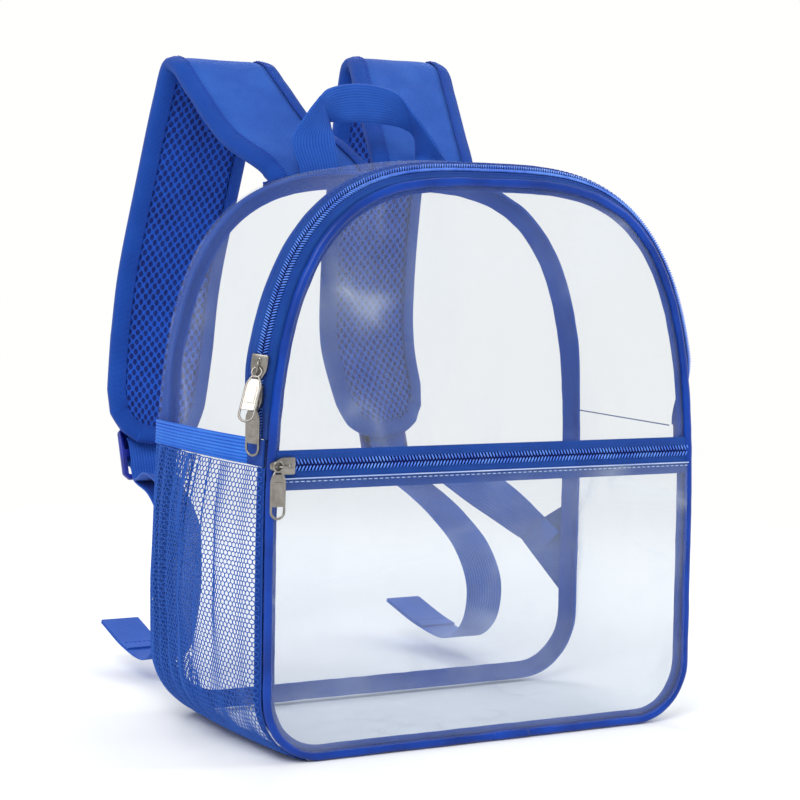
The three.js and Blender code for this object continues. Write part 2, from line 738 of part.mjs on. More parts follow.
// Foam pad: thin at the edges, full from a third of the way in
function strapPad(list) {
  return loft(list.map(({ point, across, out, half, thick }) => {
    const edge = Math.min(strapEdge, thick * 0.9);
    const core = half - Math.min(1.5 * bindingWidth, half * 0.6);
    const corners = [
      [-half, -edge], [-core, -thick], [core, -thick], [half, -edge],
      [half, edge], [core, thick], [-core, thick], [-half, edge],
    ];
    return corners.map(([a, b]) => point.clone().addScaledVector(across, a).addScaledVector(out, b));
  }));
}

// Binding tape folded round the pad's edge, down one side, round the end and back up
function strapBinding(list) {
  const edges = (sign) => list.map(({ point, across, out, half }) => (
    { point: point.clone().addScaledVector(across, sign * half), out }));
  const path = [...edges(-1), ...edges(1).reverse()];
  const inner = bindingInner;
  const outer = bindingThickness;
  const section = [
    [bindingWidth, inner], [-gap, strapEdge + gap], [-gap, -strapEdge - gap], [bindingWidth, -inner],
    [bindingWidth, -inner - outer], [-gap - outer, -strapEdge - gap - outer],
    [-gap - outer, strapEdge + gap + outer], [bindingWidth, inner + outer],
  ];
  return loft(path.map(({ point, out }, i) => {
    const before = path[Math.max(i - 1, 0)].point;
    const after = path[Math.min(i + 1, path.length - 1)].point;
    const inward = v().crossVectors(after.clone().sub(before), out).normalize();
    return section.map(([a, b]) => point.clone().addScaledVector(inward, a).addScaledVector(out, b));
  }));
}

// Ladder lock: a frame with two slots, X across, Y along its length
function lockGeometry() {
  const half = lockWidth / 2;
  const long = lockLength / 2;
  const corner = lockRail;
  const outline = new THREE.Shape([
    [-half + corner, -long], [half - corner, -long], [half, -long + corner], [half, long - corner],
    [half - corner, long], [-half + corner, long], [-half, long - corner], [-half, -long + corner],
  ].map(([x, y]) => new THREE.Vector2(x, y)));
  const plate = new THREE.ExtrudeGeometry(outline, { depth: lockThickness, bevelEnabled: false });
  const slotLength = long - lockRail - lockBar / 2;
  const slotPlace = (lockBar + slotLength) / 2;
  const slot = (y) => block(0, y, lockThickness / 2, [lockWidth - 2 * lockRail, slotLength, 2 * lockThickness]);
  const cut = [slot(slotPlace), slot(-slotPlace)];
  return joined([plate], cut).translate(0, 0, -lockThickness / 2);
}

// The lock stands off the outer face of the strap's free end
const strapEnd = strapRows[strapRows.length - 1];
const lockRise = -4;
const lockUp = v(0, Math.sin(radians(lockTilt)), Math.cos(radians(lockTilt)));
const lockOut = v(0, Math.cos(radians(lockTilt)), -Math.sin(radians(lockTilt)));
const lockPlace = (side) => v(
  harnessShift + side * lowSpread(side),
  strapBack + strapEnd.reach * strapReach,
  height - strapDrop,
).addScaledVector(lockOut, lockStandOff).addScaledVector(lockUp, lockRise);
const inLock = (side, along, out) => lockPlace(side)
  .addScaledVector(lockUp, along).addScaledVector(lockOut, out);

// How far webbing runs from the middle of a bar it lies on
const onBar = lockThickness / 2 + gap + webbingThickness / 2;
const barTop = lockLength / 2;

// Short loop sewn to the strap's outer face and folded round the lock's end bar
function lockLoop(side) {
  const turn = barTop - lockRail;
  const sewn = lockStandOff - strapThickness / 2 - webbingThickness / 2 - gap;
  const rows = [
    [barTop + 14, -sewn], [barTop + 7, -sewn], [barTop + 2.5, -sewn / 2 - 1.2],
    [turn + 3, -onBar], [turn, -onBar], [turn - 1.7, -onBar * 0.6], [turn - 2.2, 0],
    [turn - 1.7, onBar * 0.6], [turn, onBar], [turn + 3, onBar],
    [barTop + 1.5, onBar * 0.7], [barTop + 7, -sewn / 4], [barTop + 14, -sewn + 2],
  ].map(([along, out]) => ({ point: inLock(side, along, out), across: v(1, 0, 0) }));
  return ribbon(frames(rows, 24), webbingWidth - 1, webbingThickness);
}

// Strap webbing: from the tab at the side seam up through the lock, over its middle bar
// and down again as the free tail
function tabCorners(side) {
  const half = backWidth / 2 - tapeThickness;
  const face = backFace + gap + tapeThickness / 2;
  return {
    low: v(side * half, face, tabTop - tabHeight),
    high: v(side * half, face, tabTop),
    tipHigh: v(side * (half - tabInset * 0.4), face + tabReach * 0.4, tabTop - tabDrop * 0.4),
    tipLow: v(side * (half - tabInset), face + tabReach, tabTop - tabDrop),
  };
}

function strapWebbing(side) {
  const { low, high, tipLow, tipHigh } = tabCorners(side);
  const tip = tipLow.clone().lerp(tipHigh, 0.5);
  const across = tipHigh.clone().sub(tipLow).normalize().multiplyScalar(side);
  const face = v().crossVectors(tipLow.clone().sub(low), high.clone().sub(low)).normalize();
  face.multiplyScalar(Math.sign(face.y));
  const toSeam = v().crossVectors(face, across).normalize();
  face.multiplyScalar(tapeThickness / 2 + gap + webbingThickness / 2);
  const flat = v(1, 0, 0);
  const under = onBar + webbingThickness + 2 * gap;
  const bottom = inLock(side, -barTop, -under);
  const tabEnd = tip.clone().addScaledVector(toSeam, tabLap).add(face);
  const atTip = tip.clone().add(face);
  const leave = atTip.clone().addScaledVector(toSeam, -tabLap / 3);
  const arch = webbingArch.map(({ share, rise, turn }) => ({
    point: leave.clone().lerp(bottom, share).add(v(0, 0, rise)),
    across: across.clone().lerp(flat, turn),
  }));
  const wrap = [
    [-lockBar, -under], [lockBar / 2, -under + 0.2], [lockBar + 1, -onBar - 1], [lockBar + 3, -1.8],
    [lockBar + 1.6, 1.4], [lockBar - 1.2, onBar + 0.1], [0, onBar + 0.2], [-lockBar + 1.2, onBar + 0.1],
    [-lockBar - 1.6, 1], [-lockBar - 3, -1.6], [-lockBar - 6, -onBar - 0.3], [-barTop - 1, -onBar - 1.6],
  ];
  const rows = [
    { point: tabEnd, across },
    { point: tabEnd.clone().lerp(atTip, 0.5), across },
    { point: atTip, across },
    { point: leave, across },
    ...arch,
    { point: bottom, across: flat },
    ...wrap.map(([along, out]) => ({ point: inLock(side, along, out), across: flat })),
    ...tailRows.map((row) => ({
      point: v(
        lerp(bottom.x, side * tailSpread, row.out),
        strapBack + (side < 0 ? row.left : row.right) * strapReach,
        row.level * (height - strapDrop),
      ),
      across: flat,
    })),
  ];
  return ribbon(frames(rows, 62), webbingWidth, webbingThickness);
}

// Fabric tab from the side seam to the webbing
function wingTab(side) {
  const { low, high, tipLow, tipHigh } = tabCorners(side);
  const out = v().crossVectors(high.clone().sub(low), tipLow.clone().sub(low)).normalize();
  const edge = (a, b) => [[a, 0.5], [b, 0.5], [b, -0.5], [a, -0.5]]
    .map(([point, share]) => point.clone().addScaledVector(out, share * tapeThickness));
  return loft([edge(low, high), edge(tipLow, tipHigh)]);
}

// Haul loop, sewn flat to the back panel's top between the straps
function haulLoop() {
  const left = harnessShift - haulSpan / 2;
  const rows = haulRows.map((row) => ({
    point: v(left + row.along * haulSpan, haulBack + row.lean * haulWidth, backTop - haulSewn / 3
      + (row.rise > 0 ? row.rise * haulRise : row.rise * haulSewn)),
    across: v(row.x, row.y, row.z),
  }));
  return ribbon(frames(rows, 34), haulWidth, haulThickness);
}

function addHarness() {
  add(bag, 'haul_loop', haulLoop(), blueTwill);
  for (const [name, side] of [['left', -1], ['right', 1]]) {
    const list = strapFrames(side);
    add(bag, `strap_pad_${name}`, strapPad(list), blueTwill);
    add(bag, `strap_binding_${name}`, strapBinding(list), blueTape);
    const lock = add(bag, `ladder_lock_${name}`, lockGeometry(), bluePlastic);
    lock.position.copy(lockPlace(side));
    lock.rotation.x = radians(90 - lockTilt);
    add(bag, `lock_loop_${name}`, lockLoop(side), blueTape);
    add(bag, `strap_webbing_${name}`, strapWebbing(side), blueTape);
    add(bag, `wing_tab_${name}`, wingTab(side), blueTwill);
  }
}

addWalls();
addPanels();
addSeams();
addMainZip();
addZipEnds();
addPocketZip();
addMainSlider('upper', upperSliderHeight, upperPullTilt);
addMainSlider('lower', upperSliderHeight - sliderPitch, lowerPullTilt);
addPocketSlider();
addSidePocket();
addHarness();

export default bag;
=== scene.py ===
import math

import bmesh
import bpy
from mathutils import Matrix, Vector, noise


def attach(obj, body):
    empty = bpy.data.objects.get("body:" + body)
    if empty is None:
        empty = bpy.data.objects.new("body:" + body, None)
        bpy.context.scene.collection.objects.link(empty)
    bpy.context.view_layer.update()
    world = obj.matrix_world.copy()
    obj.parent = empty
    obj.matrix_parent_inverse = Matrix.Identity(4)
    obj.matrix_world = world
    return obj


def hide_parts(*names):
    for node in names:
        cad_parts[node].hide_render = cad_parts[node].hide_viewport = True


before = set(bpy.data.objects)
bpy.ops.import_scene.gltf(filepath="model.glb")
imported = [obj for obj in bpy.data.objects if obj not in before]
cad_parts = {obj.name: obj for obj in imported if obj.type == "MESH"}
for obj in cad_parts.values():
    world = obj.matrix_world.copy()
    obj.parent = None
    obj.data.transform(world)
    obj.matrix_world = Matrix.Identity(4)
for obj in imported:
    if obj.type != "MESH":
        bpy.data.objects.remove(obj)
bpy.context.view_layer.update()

# sizes, millimetres
MM = 0.001
HEIGHT = 305
FRONT_WIDTH = 270
BACK_WIDTH = 284
DEPTH = 130
BACK_RAISE = 5
FRONT_LEAN = 5
FRONT_CORNER = 34
BACK_CORNER = 41
ARCH_RISE = 216
ARCH_POWER = 3.3
SEAM_HEIGHT = 168
FILM = 1
GAP = 0.3
PIPING = 4.6
BEND_RISE = 40
CROWN_BEND = 0.75
WALL_BEND = [(0, 60), (4, 58), (10, 38), (16, 8), (24, 0)]
WALL_START = PIPING / 2 + GAP
FRONT_TAPE_END = WALL_START + 3.8
COIL_START = FRONT_TAPE_END + GAP
COIL_END = COIL_START + 5.5
COIL_MIDDLE = (COIL_START + COIL_END) / 2
BACK_TAPE_START = COIL_END + GAP
BACK_TAPE_END = BACK_TAPE_START + 6
FILM_START = BACK_TAPE_END + GAP
FILM_END = DEPTH - FILM - GAP
FILM_INSET = PIPING + GAP
FRONT_FILM = 0.6
TAPE_LAYER = -0.9
POCKET_FILM = -2.2
POCKET_ZIP = 155
POCKET_TOP = 148.4
PANEL_COLUMNS = 34
FRONT_INSET = FILM_INSET - 2.4
ZIP_END_HIGH = 14
HARNESS_SHIFT = -7


# shapes of the bag
def lerp(a, b, share):
    return a + (b - a) * share


def smooth(value, low, high):
    share = min(max((value - low) / (high - low), 0), 1)
    return share * share * (3 - 2 * share)


def outline(width, top, corner, place):
    """A point of a panel's right half: -1 floor middle, 0..1 corner, 1..2 side, 2..3 arch."""
    half = width / 2
    if place < 0:
        return (half - corner) * (1 + place), 0, 0, -1
    if place <= 1:
        nx, nz = math.sin(place * math.pi / 2), -math.cos(place * math.pi / 2)
        return half - corner + corner * nx, corner + corner * nz, nx, nz
    spring = top - ARCH_RISE
    seam_share = max(0, (SEAM_HEIGHT - spring) / ARCH_RISE)
    if place <= 2:
        z = lerp(corner, SEAM_HEIGHT, place - 1)
    else:
        angle = lerp(math.asin(seam_share ** (ARCH_POWER / 2)), math.pi / 2, place - 2)
        z = spring + ARCH_RISE * math.sin(angle) ** (2 / ARCH_POWER)
    share = min(max(0, (z - spring) / ARCH_RISE), 1)
    x = (1 - share ** ARCH_POWER) ** (1 / ARCH_POWER)
    nx, nz = x ** (ARCH_POWER - 1) / half, share ** (ARCH_POWER - 1) / ARCH_RISE
    size = math.hypot(nx, nz)
    return half * x, z, nx / size, nz / size


def front_at(place):
    return outline(FRONT_WIDTH, HEIGHT, FRONT_CORNER, place)


def back_at(place):
    return outline(BACK_WIDTH, HEIGHT + BACK_RAISE, BACK_CORNER, place)


def place_at(z):
    low, high = 0.0, 3.0
    for _ in range(40):
        middle = (low + high) / 2
        low, high = (middle, high) if front_at(middle)[1] < z else (low, middle)
    return low


def front_face(z):
    return -DEPTH / 2 + FRONT_LEAN * z / HEIGHT


def bend_at(along):
    if along < 0:
        return 0
    for (a, low), (b, high) in zip(WALL_BEND, WALL_BEND[1:]):
        if along < b:
            return math.radians(lerp(low, high, (along - a) / (b - a)))
    return 0


def wall_section(along, bend):
    run = min(along - WALL_START, WALL_BEND[-1][0])
    if run <= 0 or bend == 0:
        return along, 0, 0
    steps = 12
    behind, out = WALL_START, 0
    for i in range(steps):
        tilt = bend * bend_at((i + 0.5) / steps * run)
        behind += math.cos(tilt) * run / steps
        out += math.sin(tilt) * run / steps
    rest = DEPTH - WALL_START - WALL_BEND[-1][0]
    share = max(0, (along - WALL_START - WALL_BEND[-1][0]) / rest)
    return lerp(behind, DEPTH, share), out * (1 - share * share), bend * bend_at(run)


def bend_share(z):
    rise = smooth(z, SEAM_HEIGHT, SEAM_HEIGHT + BEND_RISE)
    return rise * lerp(1, CROWN_BEND, smooth(z, SEAM_HEIGHT + BEND_RISE, HEIGHT))


def wall(place, side, along, inward=0, straight=False):
    """A point of the wall: along it from the front face, and inward from its outer face."""
    fx, fz, fnx, fnz = front_at(place)
    bx, bz, bnx, bnz = back_at(place)
    behind, out, tilt = wall_section(along, 0 if straight else bend_share(fz))
    out -= inward * math.cos(tilt)
    behind += inward * math.sin(tilt)
    share = behind / DEPTH
    return Vector((
        side * (lerp(fx, bx, share) + lerp(fnx, bnx, share) * out),
        lerp(front_face(fz), DEPTH / 2, share),
        lerp(fz, bz, share) + lerp(fnz, bnz, share) * out))


def spaced(low, high, steps):
    return [lerp(low, high, i / steps) for i in range(steps + 1)]


SEAM_PLACE = place_at(SEAM_HEIGHT)
RIGHT_HALF = spaced(-1, 0, 14)[:-1] + spaced(0, 1, 16)[:-1] + spaced(1, 2, 22)[:-1] + spaced(2, 3, 70)
RING = [(p, 1) for p in RIGHT_HALF] + [(p, -1) for p in reversed(RIGHT_HALF[1:-1])]
UPPER = spaced(SEAM_PLACE, 3, 74)
UPPER_RUN = [(p, 1) for p in UPPER] + [(p, -1) for p in reversed(UPPER[:-1])]
LOWER = [p for p in RIGHT_HALF if p < SEAM_PLACE - 0.01] + [SEAM_PLACE]
LOWER_RUN = [(p, -1) for p in reversed(LOWER[1:])] + [(p, 1) for p in LOWER]


# meshes
def add_object(name, data):
    made = bpy.data.objects.new(name, data)
    bpy.context.scene.collection.objects.link(made)
    return made


def new_object(name, vertices, faces, uvs):
    """A mesh object from millimetre points; uvs holds one pair for each face corner."""
    mesh = bpy.data.meshes.new(name)
    mesh.from_pydata([tuple(c * MM for c in v) for v in vertices], [], faces)
    layer = mesh.uv_layers.new(name="surface")
    for loop, uv in zip(layer.data, uvs):
        loop.uv = uv
    mesh.validate()
    mesh.update()
    piece = add_object(name, mesh)
    for polygon in mesh.polygons:
        polygon.use_smooth = True
    return piece


def lengths(points, closed=False):
    total = [0.0]
    for a, b in zip(points, points[1:]):
        total.append(total[-1] + (b - a).length)
    if closed:
        total.append(total[-1] + (points[0] - points[-1]).length)
    return total


def sheet(name, rows):
    """An open surface through rows of points. UVs run in centimetres along and across it."""
    width = len(rows[0])
    along = lengths([row[width // 2] for row in rows])
    across = lengths(max(rows, key=lambda row: (row[0] - row[-1]).length))
    vertices = [v for row in rows for v in row]
    faces, uvs = [], []
    for i in range(len(rows) - 1):
        for j in range(width - 1):
            corner = i * width + j
            faces.append((corner, corner + 1, corner + width + 1, corner + width))
            uvs += [(along[i] / 10, across[j] / 10), (along[i] / 10, across[j + 1] / 10),
                    (along[i + 1] / 10, across[j + 1] / 10), (along[i + 1] / 10, across[j] / 10)]
    return new_object(name, vertices, faces, uvs)


def tube(name, loops, closed=False, sharp=None):
    """A closed body through loops of points, its ends capped when the run is open."""
    count, size = len(loops), len(loops[0])
    middles = [sum(loop, Vector()) / size for loop in loops]
    along = lengths(middles, closed)
    around = lengths(loops[count // 2], True)
    faces, uvs = [], []
    for i in range(count if closed else count - 1):
        k = (i + 1) % count
        for j in range(size):
            m = (j + 1) % size
            faces.append((i * size + j, k * size + j, k * size + m, i * size + m))
            uvs += [(along[i] / 10, around[j] / 10), (along[i + 1] / 10, around[j] / 10),
                    (along[i + 1] / 10, around[j + 1] / 10), (along[i] / 10, around[j + 1] / 10)]
    if not closed:
        faces.append(tuple(range(size)))
        uvs += [(0, around[j] / 10) for j in range(size)]
        faces.append(tuple(reversed(range((count - 1) * size, count * size))))
        uvs += [(along[-1] / 10, around[j] / 10) for j in reversed(range(size))]
    piece = new_object(name, [v for loop in loops for v in loop], faces, uvs)
    outward(piece)
    if sharp is not None:
        soft_edges(piece, sharp)
    return piece


def outward(piece):
    mesh = bmesh.new()
    mesh.from_mesh(piece.data)
    if mesh.calc_volume(signed=True) < 0:
        bmesh.ops.reverse_faces(mesh, faces=mesh.faces)
    mesh.to_mesh(piece.data)
    mesh.free()


def soft_edges(piece, degrees):
    mesh = bmesh.new()
    mesh.from_mesh(piece.data)
    limit = math.radians(degrees)
    for edge in mesh.edges:
        edge.smooth = len(edge.link_faces) == 2 and edge.calc_face_angle(0) < limit
    mesh.to_mesh(piece.data)
    mesh.free()


def apply_modifiers(piece):
    graph = bpy.context.evaluated_depsgraph_get()
    graph.update()
    mesh = bpy.data.meshes.new_from_object(piece.evaluated_get(graph))
    piece.modifiers.clear()
    piece.data = mesh


def wobble(point, scale, seed):
    return noise.noise(Vector((point.x / scale + seed, point.y / scale, point.z / scale)))


def finish(piece, material, slot, *nodes, body="bag"):
    """Gives a piece its material and body, and hides the nodes that it stands for. Its slot is not used."""
    if material:
        piece.data.materials.clear()
        piece.data.materials.append(material)
    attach(piece, body)
    if nodes:
        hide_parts(*nodes)
    return piece


# shader maths
class Num:
    """A socket with a number, for writing shader maths as expressions."""

    def __init__(self, shade, socket):
        self.shade = shade
        self.socket = socket

    def maths(self, operation, *others):
        inputs = {0: self}
        inputs.update({i + 1: other for i, other in enumerate(others)})
        return self.shade.node("ShaderNodeMath", {"operation": operation}, inputs)

    def __add__(self, other):
        return self.maths("ADD", other)

    def __sub__(self, other):
        return self.maths("SUBTRACT", other)

    def __mul__(self, other):
        return self.maths("MULTIPLY", other)

    def __truediv__(self, other):
        return self.maths("DIVIDE", other)

    def __neg__(self):
        return self.maths("MULTIPLY", -1)

    def __rsub__(self, other):
        return -self + other

    __radd__ = __add__
    __rmul__ = __mul__

    def sin(self):
        return self.maths("SINE")

    def abs(self):
        return self.maths("ABSOLUTE")

    def fract(self):
        return self.maths("FRACT")

    def power(self, other):
        return self.maths("POWER", other)

    def least(self, other):
        return self.maths("MINIMUM", other)

    def most(self, other):
        return self.maths("MAXIMUM", other)

    def step(self, low, high):
        return self.shade.node("ShaderNodeMapRange", {"interpolation_type": "SMOOTHSTEP"},
                               {0: self, 1: low, 2: high, 3: 0, 4: 1})


class Shade:
    """One material's nodes."""

    def __init__(self, name):
        self.material = bpy.data.materials.new(name)
        self.material.use_nodes = True
        self.tree = self.material.node_tree
        self.tree.nodes.clear()
        self.output = self.tree.nodes.new("ShaderNodeOutputMaterial")

    def node(self, kind, settings=None, inputs=None, output=0):
        made = self.tree.nodes.new(kind)
        for key, value in (settings or {}).items():
            setattr(made, key, value)
        for key, value in (inputs or {}).items():
            if isinstance(value, Num):
                self.tree.links.new(value.socket, made.inputs[key])
            elif value is not None:
                made.inputs[key].default_value = value
        return Num(self, made.outputs[output])

    def surface_uv(self):
        uv = self.node("ShaderNodeUVMap", {"uv_map": "surface"})
        split = self.node("ShaderNodeSeparateXYZ", None, {0: uv})
        both = split.socket.node.outputs
        return Num(self, both[0]), Num(self, both[1])

    def place(self):
        return self.node("ShaderNodeTexCoord", output=3)

    def place_xyz(self):
        split = self.node("ShaderNodeSeparateXYZ", None, {0: self.place()})
        return [Num(self, socket) for socket in split.socket.node.outputs]

    def noise(self, scale, detail=3, stretch=(1, 1, 1), shift=0.0):
        point = self.node("ShaderNodeMapping", None,
                          {"Vector": self.place(), "Scale": stretch, "Location": (shift, shift, shift)})
        return self.node("ShaderNodeTexNoise", None, {"Vector": point, "Scale": scale, "Detail": detail})

    def mix(self, share, low, high):
        made = self.node("ShaderNodeMix", {"data_type": "RGBA"}, {0: share})
        node = made.socket.node
        for index, value in ((6, low), (7, high)):
            if isinstance(value, Num):
                self.tree.links.new(value.socket, node.inputs[index])
            else:
                node.inputs[index].default_value = (*value, 1)
        return Num(self, node.outputs[2])

    def bump(self, height, distance):
        return self.node("ShaderNodeBump", None, {"Height": height, "Distance": distance, "Strength": 1.0})

    def shader(self, **inputs):
        return self.node("ShaderNodeBsdfPrincipled", None,
                         {key.replace("_", " "): value for key, value in inputs.items()})

    def done(self, shader):
        self.tree.links.new(shader.socket, self.output.inputs[0])
        return self.material


def rgb(red, green, blue):
    """A colour in linear light from its 0 to 255 screen values."""
    def linear(value):
        value /= 255
        return value / 12.92 if value <= 0.04045 else ((value + 0.055) / 1.055) ** 2.4
    return (linear(red), linear(green), linear(blue))


TURN = 2 * math.pi


def clear_film(name, tint, haze, wrinkle, seed, grain=(1, 1, 0.5), glare=0.25, roughness=0.13):
    """Soft clear vinyl: mostly see-through, glossy, with soft wrinkles and a little haze, and painted glare
    in noise patches and streaks.
    """
    s = Shade(name)
    large = s.noise(9, 2, grain, seed)
    small = s.noise(34, 3, grain, seed + 3)
    normal = s.bump(large * 0.94 + small * 0.06, wrinkle)
    body = s.shader(Base_Color=(0.68, 0.75, 0.84, 1), Roughness=roughness, Normal=normal, IOR=1.46)
    clear = s.node("ShaderNodeBsdfTransparent", None, {"Color": (*tint, 1)})
    edge = s.node("ShaderNodeLayerWeight", None, {"Blend": 0.12}, output=1)
    # painted glare: the ridge streaks and cloud patches show more of the lit body, standing in for
    # reflections on the film
    ridge = (-(s.noise(7, 3, grain, seed + 11) - 0.5).abs() * 26 + 1).most(0).power(2)
    cloud = s.noise(11, 4, grain, seed + 7).step(0.45, 0.75)
    share = (edge * glare + cloud * (haze * 3) + ridge * cloud * 0.3 + haze).least(0.8)
    return s.done(s.node("ShaderNodeMixShader", None, {0: share, 1: clear, 2: body}))


def blue_cloth(name, color, light, pattern, depth, roughness=0.85, sheen=0.06):
    """A woven blue: pattern(shade) gives a height from 0 to 1, lighter on its high threads, with painted
    shade in its low places.
    """
    s = Shade(name)
    height = pattern(s)
    worn = s.noise(45, 4).step(0.3, 0.75)
    fibres = s.noise(1900, 2)
    # painted shade: low places of the weave take the darker colour; fibres and wear add random tone
    shade = (height * 0.75 + fibres * 0.15 + worn * 0.2).least(1)
    base = s.mix(shade, color, light)
    normal = s.bump(height + fibres * 0.3, depth)
    body = s.shader(Base_Color=base, Roughness=(1 - height * 0.15) * roughness, Normal=normal)
    body.socket.node.inputs["Sheen Weight"].default_value = sheen
    body.socket.node.inputs["Sheen Roughness"].default_value = 0.4
    body.socket.node.inputs["Specular IOR Level"].default_value = 0.2
    return s.done(body)


def ribs(along, across=0.0):
    """Fine ribs: counts of ribs to the centimetre along and across the surface."""
    def pattern(s):
        u, v = s.surface_uv()
        return ((u * (along * TURN) + v * (across * TURN)).sin() * 0.5 + 0.5)
    return pattern


def plain_weave(threads):
    def pattern(s):
        u, v = s.surface_uv()
        return ((u * (threads * math.pi)).sin() * (v * (threads * math.pi)).sin()) * 0.5 + 0.5
    return pattern


def twill(threads):
    """Diagonal lines over fine crosswise threads."""
    def pattern(s):
        u, v = s.surface_uv()
        lines = ((u + v) * (threads * TURN)).sin() * 0.5 + 0.5
        return lines * 0.65 + ((u - v) * (threads * 1.7 * TURN)).sin() * 0.15 + 0.15
    return pattern


def webbing_ribs():
    """Lengthwise ribs crossed by fine picks, as on woven webbing."""
    def pattern(s):
        u, v = s.surface_uv()
        return ((v * (5.5 * TURN)).sin() * 0.24 + (u * (9 * TURN)).sin() * 0.12) + 0.5
    return pattern


def herringbone(threads, width):
    def pattern(s):
        u, v = s.surface_uv()
        zigzag = ((v / width).fract() - 0.5).abs() * (2 * width)
        return ((u + zigzag) * (threads * TURN)).sin() * 0.5 + 0.5
    return pattern


def air_holes(pitch):
    """Staggered round holes of a spacer net, with painted shade in their depth."""
    def pattern(s):
        u, v = s.surface_uv()
        a, b = u / (pitch * 1.25), v / (pitch * 0.95)

        def ring(da, db):
            x = ((a + da).fract() - 0.5) * (pitch * 0.85)
            y = ((b + db).fract() - 0.5) * (pitch * 0.95)
            return (x * x + y * y).power(0.5)
        near = ring(0, 0).least(ring(0.5, 0.5))
        return near.step(pitch * 0.17, pitch * 0.27)
    return pattern


def glossy_vinyl(name, color, deep):
    s = Shade(name)
    soft = s.noise(30, 3)
    grain = s.noise(800, 2)
    # painted shade: the colour darkens where the soft bump is low
    base = s.mix(soft.step(0.3, 0.7), deep, color)
    normal = s.bump(soft * 0.8 + grain * 0.04, 0.0012)
    body = s.shader(Base_Color=base, Roughness=soft * 0.12 + 0.24, Normal=normal)
    body.socket.node.inputs["Specular IOR Level"].default_value = 0.22
    return s.done(body)


def moulded_plastic(name, color, deep, roughness):
    s = Shade(name)
    grain = s.noise(600, 3)
    wear = s.noise(60, 3).step(0.35, 0.7)
    body = s.shader(Base_Color=s.mix(wear, deep, color), Roughness=wear * 0.1 + roughness,
                    Normal=s.bump(grain, 0.00006))
    return s.done(body)


def polished_nickel(name):
    s = Shade(name)
    cloud = s.noise(260, 4)
    scratch = s.noise(900, 2, (1, 1, 0.15), 2)
    body = s.shader(Base_Color=s.mix(cloud, rgb(112, 108, 102), rgb(174, 169, 162)), Metallic=1.0,
                    Roughness=cloud * 0.1 + 0.28, Normal=s.bump(cloud * 0.6 + scratch * 0.4, 0.00012))
    return s.done(body)


def thread(name, color):
    s = Shade(name)
    twist = s.noise(1500, 2)
    return s.done(s.shader(Base_Color=s.mix(twist, color, tuple(min(1, c * 1.8) for c in color)),
                           Roughness=0.7, Normal=s.bump(twist, 0.00015)))


FILM_FRONT = clear_film("clear film front", (0.918, 0.931, 0.943), 0.04, 0.004, 0.0, (0.7, 1, 1.2))
FILM_POCKET = clear_film("clear film pocket", (0.965, 0.968, 0.978), 0.035, 0.004, 5.0, (0.45, 1, 1.8))
FILM_SIDE = clear_film("clear film sides", (0.925, 0.94, 0.955), 0.03, 0.0015, 9.0, (1, 1, 0.5), 0.06, 0.34)
FILM_BACK = clear_film("clear film back", (0.92, 0.935, 0.953), 0.04, 0.005, 13.0)
# a pale strip stands for the painted highlight on the pocket film's cut edge
FILM_EDGE_HIGHLIGHT = glossy_vinyl("film edge painted highlight", rgb(196, 210, 240), rgb(150, 172, 222))
FILM_JOINT = glossy_vinyl("film joint", rgb(120, 132, 168), rgb(96, 108, 146))
PIPING_BLUE = glossy_vinyl("piping vinyl", rgb(10, 64, 166), rgb(6, 46, 128))
SEAM_BLUE = blue_cloth("seam tape", rgb(12, 52, 138), rgb(34, 88, 184), ribs(14), 0.00015)
BINDING_BLUE = blue_cloth("strap binding tape", rgb(8, 46, 132), rgb(28, 86, 184), ribs(13), 0.0002)
TAPE_BLUE = blue_cloth("zip tape", rgb(8, 42, 124), rgb(36, 96, 192), herringbone(9, 0.32), 0.0003)
# the near-black core is painted shade in the gaps between the coil's teeth
CORE_SHADE_BLUE = blue_cloth("zip core painted shade", rgb(4, 16, 70), rgb(8, 30, 104), ribs(9), 0.0002)
TWILL_BLUE = blue_cloth("strap twill", rgb(10, 56, 156), rgb(56, 116, 212), twill(5.5), 0.0005)
# the dark first colour is painted shade in the net's holes
NET_PAD_BLUE = blue_cloth("air mesh", rgb(6, 22, 92), rgb(26, 84, 196), air_holes(0.55), 0.0014, 0.8)
WEBBING_BLUE = blue_cloth("webbing", rgb(12, 52, 138), rgb(48, 104, 202), webbing_ribs(), 0.0002)
TAB_BLUE = blue_cloth("tab fabric", rgb(18, 58, 144), rgb(48, 102, 192), plain_weave(11), 0.0002)
ELASTIC_BLUE = blue_cloth("ribbed elastic", rgb(20, 84, 200), rgb(66, 136, 238), ribs(0, 5), 0.0005)
PATCH_BLUE = blue_cloth("zip end fabric", rgb(14, 48, 128), rgb(34, 80, 170), plain_weave(14), 0.0002)
NET_THREAD = thread("net thread", rgb(20, 72, 152))
STITCH_BLUE = thread("blue thread", rgb(14, 52, 150))
STITCH_CLEAR = thread("pale thread", rgb(150, 172, 224))
# the coil's light blue is a painted highlight on its teeth
COIL_HIGHLIGHT_BLUE = moulded_plastic("zip coil painted highlight", rgb(96, 148, 240), rgb(60, 112, 220), 0.25)
LOCK_BLUE = moulded_plastic("ladder lock plastic", rgb(20, 44, 170), rgb(10, 26, 120), 0.28)
NICKEL = polished_nickel("polished nickel")


